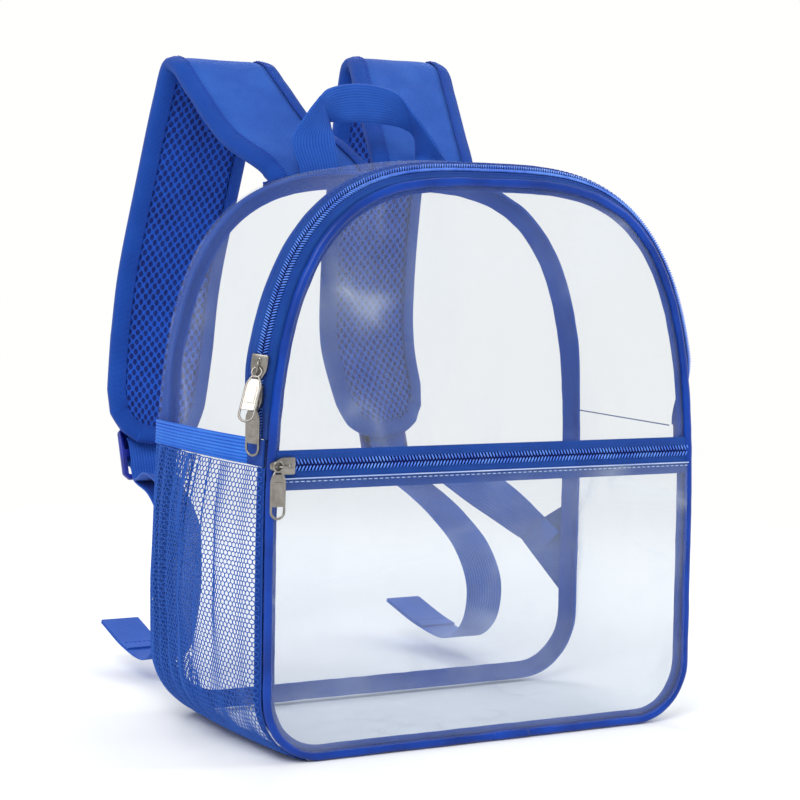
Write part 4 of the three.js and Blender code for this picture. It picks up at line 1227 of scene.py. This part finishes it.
def ribbon(name, rows, steps, width, node):
    """Webbing with thick woven edges through (point, across) rows."""
    half, thick = width / 2, WEBBING_THICK / 2
    face = [(-half, -thick * 0.5), (-half + 0.7, -thick), (-half * 0.5, -thick * 0.9),
            (half * 0.5, -thick * 0.9), (half - 0.7, -thick), (half, -thick * 0.5)]
    section = face + [(a, -b) for a, b in reversed(face)]
    made = frames(rows, steps)
    loops = [[p + across * a + out * b for a, b in section] for p, _, across, out, _, _ in made]
    piece = tube(name, loops)
    soft_edges(piece, 60)
    finish(piece, WEBBING_BLUE, "webbing", node)
    return made


LOCK_TILT = math.radians(21)
LOCK_UP = Vector((0, math.sin(LOCK_TILT), math.cos(LOCK_TILT)))
LOCK_OUT = Vector((0, math.cos(LOCK_TILT), -math.sin(LOCK_TILT)))
LOCK_AWAY = 12
LOCK_BELOW = 4
X_AXIS = Vector((1, 0, 0))


def in_lock(side, along, out):
    x = HARNESS_SHIFT + side * low_spread(side)
    middle = Vector((x, STRAP_BACK + 0.88 * STRAP_REACH, HEIGHT - STRAP_DROP))
    return middle + LOCK_OUT * (LOCK_AWAY + out) + LOCK_UP * (along - LOCK_BELOW)


LOCK_THICK, LOCK_LONG, LOCK_BAR, LOCK_RAIL = 3.5, 34, 6, 3.5
WEBBING_THICK, WEBBING_WIDTH = 1.4, 25
ON_BAR = LOCK_THICK / 2 + GAP + WEBBING_THICK / 2
BAR_TOP = LOCK_LONG / 2


def make_lock_loop(name, side):
    turn = BAR_TOP - LOCK_RAIL
    sewn = LOCK_AWAY - STRAP_THICK / 2 - WEBBING_THICK / 2 - GAP
    rows = [(BAR_TOP + 14, -sewn), (BAR_TOP + 7, -sewn), (BAR_TOP + 2.5, -sewn / 2 - 1.2),
            (turn + 3, -ON_BAR), (turn, -ON_BAR), (turn - 1.7, -ON_BAR * 0.6), (turn - 2.2, 0),
            (turn - 1.7, ON_BAR * 0.6), (turn, ON_BAR), (turn + 3, ON_BAR), (BAR_TOP + 1.5, ON_BAR * 0.7),
            (BAR_TOP + 7, -sewn / 4), (BAR_TOP + 14, -sewn + 2)]
    ribbon("lock_loop_%s_webbing" % name, [(in_lock(side, a, o), X_AXIS) for a, o in rows], 90, 24,
           "lock_loop_" + name)
    places = []
    for along in (BAR_TOP + 9, BAR_TOP + 11.5):
        line = [in_lock(side, along, -sewn / 4 + 0.2) + X_AXIS * x for x in spaced(-10, 10, 6)]
        places += stitch_places(line, [LOCK_OUT] * len(line), 3)
    repeated("lock_loop_stitches_" + name, places, STITCH_BLUE, "webbing", 2.2, 0.5, 0.45)


def tab_corners(side):
    half, face = BACK_WIDTH / 2 - 1.3, DEPTH / 2 + GAP + 0.65
    return (Vector((side * half, face, 45)), Vector((side * half, face, 110)),
            Vector((side * (half - 22.6), face + 21, 82.8)),
            Vector((side * (half - 19.1), face + 3, 99.4)))


TAIL_ROWS = [  # out, left reach, right reach, level
    (0.05, 0.687, 0.687, 0.796), (0.2, 0.552, 0.528, 0.736), (0.35, 0.456, 0.401, 0.669),
    (0.55, 0.401, 0.242, 0.549), (0.72, 0.377, 0.179, 0.401), (0.85, 0.409, 0.234, 0.246),
    (0.92, 0.464, 0.345, 0.148), (0.96, 0.575, 0.488, 0.099), (1, 0.806, 0.774, 0.113),
    (1, 1.099, 1.099, 0.176)]
TAIL_SPREAD = 103
TAB_LAP = 13


def make_webbing(name, side):
    low, high, tip_low, tip_high = tab_corners(side)
    tip = tip_low.lerp(tip_high, 0.5)
    across = (tip_high - tip_low).normalized() * side
    face = (tip_low - low).cross(high - low).normalized()
    face *= math.copysign(1, face.y)
    to_seam = face.cross(across).normalized()
    lift = face * (0.65 + GAP + WEBBING_THICK / 2)
    under = ON_BAR + WEBBING_THICK + 2 * GAP
    bottom = in_lock(side, -BAR_TOP, -under)
    tab_end, at_tip = tip + to_seam * TAB_LAP + lift, tip + lift
    leave = at_tip - to_seam * TAB_LAP / 3
    # it arches between the tab and the lock
    near = leave.lerp(bottom, 0.28) + Vector((0, 0, 9))
    far = leave.lerp(bottom, 0.62) + Vector((0, 0, 14))
    wrap = [(-LOCK_BAR, -under), (LOCK_BAR / 2, -under + 0.2), (LOCK_BAR + 1, -ON_BAR - 1),
            (LOCK_BAR + 3, -1.8), (LOCK_BAR + 1.6, 1.4), (LOCK_BAR - 1.2, ON_BAR + 0.1), (0, ON_BAR + 0.2),
            (-LOCK_BAR + 1.2, ON_BAR + 0.1), (-LOCK_BAR - 1.6, 1), (-LOCK_BAR - 3, -1.6),
            (-LOCK_BAR - 6, -ON_BAR - 0.3), (-BAR_TOP - 1, -ON_BAR - 1.6)]
    rows = [(tab_end, across), (tab_end.lerp(at_tip, 0.5), across), (at_tip, across), (leave, across),
            (near, across.lerp(X_AXIS, 0.35)), (far, across.lerp(X_AXIS, 0.75)), (bottom, X_AXIS)]
    rows += [(in_lock(side, a, o), X_AXIS) for a, o in wrap]
    for out, left, right, level in TAIL_ROWS:
        reach = left if side < 0 else right
        x = lerp(bottom.x, side * TAIL_SPREAD, out)
        where = Vector((x, STRAP_BACK + reach * STRAP_REACH, level * (HEIGHT - STRAP_DROP)))
        rows.append((where, X_AXIS))
    made = ribbon("strap_webbing_%s_run" % name, rows, 300, WEBBING_WIDTH, "strap_webbing_" + name)
    # folded hem at the free end, with its stitches
    end = made[-14:]
    loops = []
    hem = ((-12.3, 0.75), (12.3, 0.75), (12.3, 1.9), (-12.3, 1.9))
    for point, _, wide, out, _, _ in end:
        loops.append([point + wide * a + out * b for a, b in hem])
    finish(tube("webbing_hem_" + name, loops, sharp=50), WEBBING_BLUE, "webbing")
    point, _, wide, out, _, _ = end[3]
    line = [point + wide * a + out * 2.0 for a in spaced(-11, 11, 8)]
    places = stitch_places(line, [out] * len(line), 3)
    repeated("webbing_hem_stitches_" + name, places, STITCH_BLUE, "webbing", 2.2, 0.5, 0.45)
    # tab sewn in the side seam
    thickness = face * 0.62
    loops = []
    for share in spaced(0, 1, 10):
        first, last = low.lerp(tip_low, share), high.lerp(tip_high, share)
        top = [first.lerp(last, s) + thickness for s in spaced(0, 1, 8)]
        loops.append(top + [p - 2 * thickness for p in reversed(top)])
    tab = tube("side_tab_" + name, loops)
    soft_edges(tab, 60)
    finish(tab, TAB_BLUE, "tab_fabric", "wing_tab_" + name)
    places = []
    left_low, right_low, left_high, right_high = (-10.5, 2), (10.5, 2), (-10.5, 11), (10.5, 11)
    for a, b in ((left_low, right_low), (left_high, right_high), (left_low, right_high),
                 (right_low, left_high), (left_low, left_high), (right_low, right_high)):
        ends = [tip + across * p[0] + to_seam * p[1] + lift + face * 0.8 for p in (a, b)]
        line = [ends[0].lerp(ends[1], s) for s in spaced(0, 1, 6)]
        places += stitch_places(line, [face] * len(line), 2.6)
    repeated("side_tab_stitches_" + name, places, STITCH_BLUE, "tab_fabric", 2.0, 0.5, 0.45)


HAUL_EDGES = [  # rear and front edge: right of the harness middle, behind the back, above the top
    ((-47, 2, -5), (-21, 2, -1)), ((-47, 2, 4), (-22, 2, 8)), ((-52, 3, 21), (-26, 0, 22)),
    ((-46, -5, 37), (-26, 5, 30)), ((-40, -8, 46), (-26, 7, 33)), ((-33, -5, 51), (-18, 3, 33)),
    ((-13, -4, 55), (1, 2, 33)), ((10, -7, 51), (22, 5, 31)), ((21, -7, 41), (32, 8, 26)),
    ((37, -8, 22), (35, 12, 16)), ((51, 2, 11), (31, 2, 9)), ((53, 2, 2), (31, 2, 0))]
HAUL_CREASE = 4
HAUL_THICK = 2


def make_haul_loop():
    origin = Vector((HARNESS_SHIFT, DEPTH / 2, HEIGHT))
    rear, front = ([origin + Vector(row[k]) for row in HAUL_EDGES] for k in (0, 1))
    spans = []
    for low, high in ((0, HAUL_CREASE), (HAUL_CREASE, len(HAUL_EDGES) - 1)):
        steps = (high - low) * 18
        for i in range(steps + (high != HAUL_CREASE)):
            spans.append([centripetal(edge[low:high + 1], i / steps) for edge in (rear, front)])
    loops = []
    for i, (back, near) in enumerate(spans):
        before, after = spans[max(i - 1, 0)], spans[min(i + 1, len(spans) - 1)]
        along = (after[0] + after[1]) - (before[0] + before[1])
        out = (near - back).cross(along).normalized() * (HAUL_THICK / 2)
        section = [(0, 0.5), (0.03, 1), (0.25, 0.92), (0.5, 0.9), (0.75, 0.92), (0.97, 1), (1, 0.5)]
        loop = [back.lerp(near, share) + out * k for share, k in section]
        loops.append(loop + [back.lerp(near, share) - out * k for share, k in reversed(section)])
    piece = tube("haul_loop_webbing", loops)
    soft_edges(piece, 50)
    finish(piece, WEBBING_BLUE, "webbing", "haul_loop")


# hard pieces
def refined(name, node, material, slot, bevel):
    """A smooth, rounded copy of a moulded node."""
    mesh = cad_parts[node].data.copy()
    mesh.name = name
    work = bmesh.new()
    work.from_mesh(mesh)
    bmesh.ops.remove_doubles(work, verts=work.verts, dist=1e-6)
    bmesh.ops.dissolve_limit(work, angle_limit=math.radians(1), verts=work.verts, edges=work.edges)
    work.to_mesh(mesh)
    work.free()
    piece = add_object(name, mesh)
    rounding = piece.modifiers.new("rounded edges", "BEVEL")
    rounding.width = bevel * MM
    rounding.segments = 3
    rounding.limit_method = "ANGLE"
    rounding.angle_limit = math.radians(40)
    apply_modifiers(piece)
    for polygon in piece.data.polygons:
        polygon.use_smooth = True
    soft_edges(piece, 35)
    finish(piece, material, slot, node)


SLIDER_LONG, SLIDER_WIDE = 13.5, 9
PLATE_TOP = 3.35
PIVOT_HEIGHT = 4.5
LEG_PLACE = 3.78
PULL_EYE = 2.65
PULL_END, PULL_HALF = -25.6, 3.75


def main_seat(z):
    """Origin, along, across and away directions of a slider on the left run of the main zip."""
    def place(high, shift):
        return wall(place_at(high), -1, COIL_MIDDLE + shift * SLIDER_WIDE / 2)
    along = (place(z + SLIDER_LONG / 2, 0) - place(z - SLIDER_LONG / 2, 0)).normalized()
    across = place(z, 1) - place(z, -1)
    across = (across - along * along.dot(across)).normalized()
    return place(z, 0), along, across, along.cross(across)


def pocket_seat():
    x = -outline(FRONT_WIDTH, HEIGHT, FRONT_CORNER, place_at(POCKET_ZIP))[0] + 7.5
    origin = Vector((x, front_face(POCKET_ZIP) + TAPE_LAYER, POCKET_ZIP))
    return origin, X_AXIS, Vector((0, 0, 1)), Vector((0, -1, 0))


def in_seat(seat, x, y, z):
    origin, along, across, away = seat
    return origin + along * x + across * y + away * z


def fused(name, pieces):
    mesh = bmesh.new()
    for piece in pieces:
        mesh.from_mesh(piece.data)
        bpy.data.objects.remove(piece)
    data = bpy.data.meshes.new(name)
    mesh.to_mesh(data)
    mesh.free()
    whole = add_object(name, data)
    return whole


def wire(name, points, radius, closed, up):
    """A round bar along points."""
    loops, count = [], len(points)
    for i, point in enumerate(points):
        before = points[i - 1] if i > 0 or closed else point
        after = points[(i + 1) % count] if i < count - 1 or closed else point
        side = (after - before).cross(up).normalized()
        turns = [k / 10 * TURN for k in range(10)]
        loops.append([point + side * (radius * math.cos(a)) + up * (radius * math.sin(a)) for a in turns])
    return tube(name, loops, closed)


def make_slider(name, node, seat):
    half, side = SLIDER_LONG / 2, SLIDER_WIDE / 2
    shape = [(half, -side * 0.86), (half, side * 0.86), (half - 0.7, side), (0.4, side),
             (-half * 0.3, side * 0.9), (-half + 0.8, side * 0.5), (-half, side * 0.3),
             (-half, -side * 0.3), (-half + 0.8, -side * 0.5), (-half * 0.3, -side * 0.9),
             (0.4, -side), (half - 0.7, -side)]
    levels = [(0.35, 0.94), (0.7, 1), (2.6, 1), (3.1, 0.96), (PLATE_TOP, 0.86)]
    body = tube("slider body", [[in_seat(seat, x * k, y * k, z) for x, y in shape] for z, k in levels])
    soft_edges(body, 38)
    steps = 12
    arch = []
    for i in range(steps + 1):
        turn = math.pi * i / steps
        rise = 3.6 * math.sin(turn) ** 0.6
        arch.append(in_seat(seat, LEG_PLACE * math.cos(turn), 0, PLATE_TOP - 0.5 + rise))
    bridge = wire("slider bridge", arch, 0.62, False, seat[2])
    bosses = []
    for end in (LEG_PLACE, -LEG_PLACE):
        rings = []
        for high, wide in ((-0.3, 1.5), (0.25, 1.45), (0.6, 1.1), (0.75, 0.5)):
            turns = [k / 12 * TURN for k in range(12)]
            rings.append([in_seat(seat, end + wide * math.cos(a), wide * 0.85 * math.sin(a),
                                  PLATE_TOP + high) for a in turns])
        bosses.append(tube("slider boss", rings))
    finish(fused(name, [body, bridge] + bosses), NICKEL, "zip_metal", node)


def make_pull(name, node, body, hang):
    """A cast pull: a ring, a raised rim round a thin plate, and an open end below it."""
    up = hang[3]
    ring = []
    for k in range(20):
        turn = k / 20 * TURN
        ring.append(in_seat(hang, 2.5 * math.cos(turn), -PULL_EYE + 2.65 * math.sin(turn), 0))
    shoulder = [(-1.7, -5.2), (-2.6, -6.9), (-3.4, -8.7), (-PULL_HALF, -10.6), (-PULL_HALF, -16),
                (-PULL_HALF, -21)]
    rim = [in_seat(hang, x, y, 0) for x, y in shoulder]
    for k in range(15):
        turn = math.pi + k / 14 * math.pi
        rim.append(in_seat(hang, PULL_HALF * math.cos(turn), PULL_END + PULL_HALF * math.sin(turn), 0))
    rim += [in_seat(hang, -x, y, 0) for x, y in reversed(shoulder)] + [in_seat(hang, 0, -4.9, 0)]
    half_plate = [(-2.2, -6.6), (-3.2, -8.8), (-3.6, -10.6), (-3.6, -22.6), (-2.6, -23.2)]
    outline_of_plate = half_plate + [(-x, y) for x, y in reversed(half_plate)]
    plate = [[in_seat(hang, x, y, z) for x, y in outline_of_plate] for z in (-0.38, 0.38)]
    panel = []
    for z, inset in ((0.3, 0), (0.62, 0.25)):
        x, top, low = 2.5 - inset, -10.4 - inset, -19.6 + inset
        panel.append([in_seat(hang, a, b, z) for a, b in ((-x, top), (-x, low), (x, low), (x, top))])
    pieces = [wire("ring", ring, 0.64, True, up), wire("rim", rim, 0.66, True, up),
              tube("plate", plate, sharp=40), tube("raised panel", panel, sharp=30)]
    finish(fused(name, pieces), NICKEL, "zip_metal", node, body=body)


def make_metal():
    for label, z, tilt in (("upper", 204, 22), ("lower", 189, 3)):
        seat = main_seat(z)
        make_slider("main_slider_%s_body" % label, "main_slider_" + label, seat)
        turn = math.radians(tilt)
        down = -seat[1] * math.cos(turn) + seat[3] * math.sin(turn)
        front = seat[1] * math.sin(turn) + seat[3] * math.cos(turn)
        hang = (in_seat(seat, 0, 0, PIVOT_HEIGHT), -seat[2], -down, front)
        make_pull("main_pull_%s_tab" % label, "main_pull_" + label, label + " pull", hang)
    seat = pocket_seat()
    make_slider("pocket_slider_body", "pocket_slider", seat)
    hang = (in_seat(seat, -LEG_PLACE, PULL_EYE, PIVOT_HEIGHT), *seat[1:])
    make_pull("pocket_pull_tab", "pocket_pull", "pocket pull", hang)
    for name in ("left", "right"):
        refined("ladder_lock_%s_frame" % name, "ladder_lock_" + name, LOCK_BLUE, "lock_plastic", 0.9)


# stage, light and camera
def make_stage():
    mesh = bpy.data.meshes.new("floor")
    size = 6.0
    corners = ((-size, -size), (size, -size), (size, size), (-size, size))
    mesh.from_pydata([(x, y, -0.0005) for x, y in corners], [], [(0, 1, 2, 3)])
    floor = add_object("floor", mesh)
    s = Shade("pale floor")
    x, y, _ = s.place_xyz()
    away = (x * x + y * y).power(0.5).step(0.45, 1.0)
    grain = s.noise(3, 2)
    pale = s.shader(Base_Color=s.mix(grain, (0.94, 0.94, 0.93), (0.96, 0.96, 0.95)), Roughness=0.95)
    pale.socket.node.inputs["Specular IOR Level"].default_value = 0.0
    far = s.node("ShaderNodeEmission", None, {"Color": (1, 1, 0.985, 1), "Strength": 1.0})
    mesh.materials.append(s.done(s.node("ShaderNodeMixShader", None, {0: away, 1: pale, 2: far})))


def lamp(name, place, target, size, energy, color=(1, 1, 1)):
    data = bpy.data.lights.new(name, "AREA")
    data.shape = "RECTANGLE"
    data.size, data.size_y = size
    data.energy = energy
    data.color = color
    light = add_object(name, data)
    light.location = place
    light.rotation_euler = (Vector(target) - Vector(place)).to_track_quat("-Z", "Y").to_euler()


def make_light():
    world = bpy.data.worlds.new("studio")
    bpy.context.scene.world = world
    world.use_nodes = True
    nodes, links = world.node_tree.nodes, world.node_tree.links
    nodes.clear()
    out = nodes.new("ShaderNodeOutputWorld")
    fill, seen = nodes.new("ShaderNodeBackground"), nodes.new("ShaderNodeBackground")
    fill.inputs["Color"].default_value = (0.96, 0.98, 1.0, 1)
    fill.inputs["Strength"].default_value = 0.75
    seen.inputs["Color"].default_value = (1.0, 1.0, 0.985, 1)
    seen.inputs["Strength"].default_value = 1.0
    ray, mix = nodes.new("ShaderNodeLightPath"), nodes.new("ShaderNodeMixShader")
    links.new(ray.outputs["Is Camera Ray"], mix.inputs[0])
    links.new(fill.outputs[0], mix.inputs[1])
    links.new(seen.outputs[0], mix.inputs[2])
    links.new(mix.outputs[0], out.inputs[0])
    lamp("key", (-1.6, -1.5, 2.1), (0, 0, 0.18), (1.4, 1.4), 42)
    lamp("side", (2.3, -0.9, 1.1), (0, 0, 0.18), (0.7, 1.8), 16)
    lamp("back", (0.6, 2.2, 1.7), (0, 0, 0.2), (1.6, 0.9), 26)


def make_camera():
    data = bpy.data.cameras.new("camera")
    focal_pixels, picture_pixels = 2105.69, 800
    data.sensor_width = 36
    data.lens = focal_pixels / picture_pixels * data.sensor_width
    camera = add_object("camera", data)
    right = Vector((0.8716, -0.4897, 0.0233)).normalized()
    forward = Vector((0.4899, 0.8681, -0.0805)).normalized()
    up = right.cross(forward).normalized()
    forward = up.cross(right).normalized()
    turn = Matrix((right, up, -forward)).transposed().to_4x4()
    turn.translation = Vector((-599.5, -1023.0, 276.3)) * MM
    camera.matrix_world = turn
    bpy.context.scene.camera = camera
    bpy.context.scene.view_settings.view_transform = "Standard"


make_camera()
make_stage()
make_light()
make_films()
make_piping()
make_seam_tapes()
make_main_zip()
make_pocket_zip()
make_zip_ends()
make_net()
make_elastic()
for strap_name, strap_side in (("left", -1), ("right", 1)):
    make_strap(strap_name, strap_side)
    make_lock_loop(strap_name, strap_side)
    make_webbing(strap_name, strap_side)
make_haul_loop()
make_metal()
bpy.data.objects.remove(BAR)
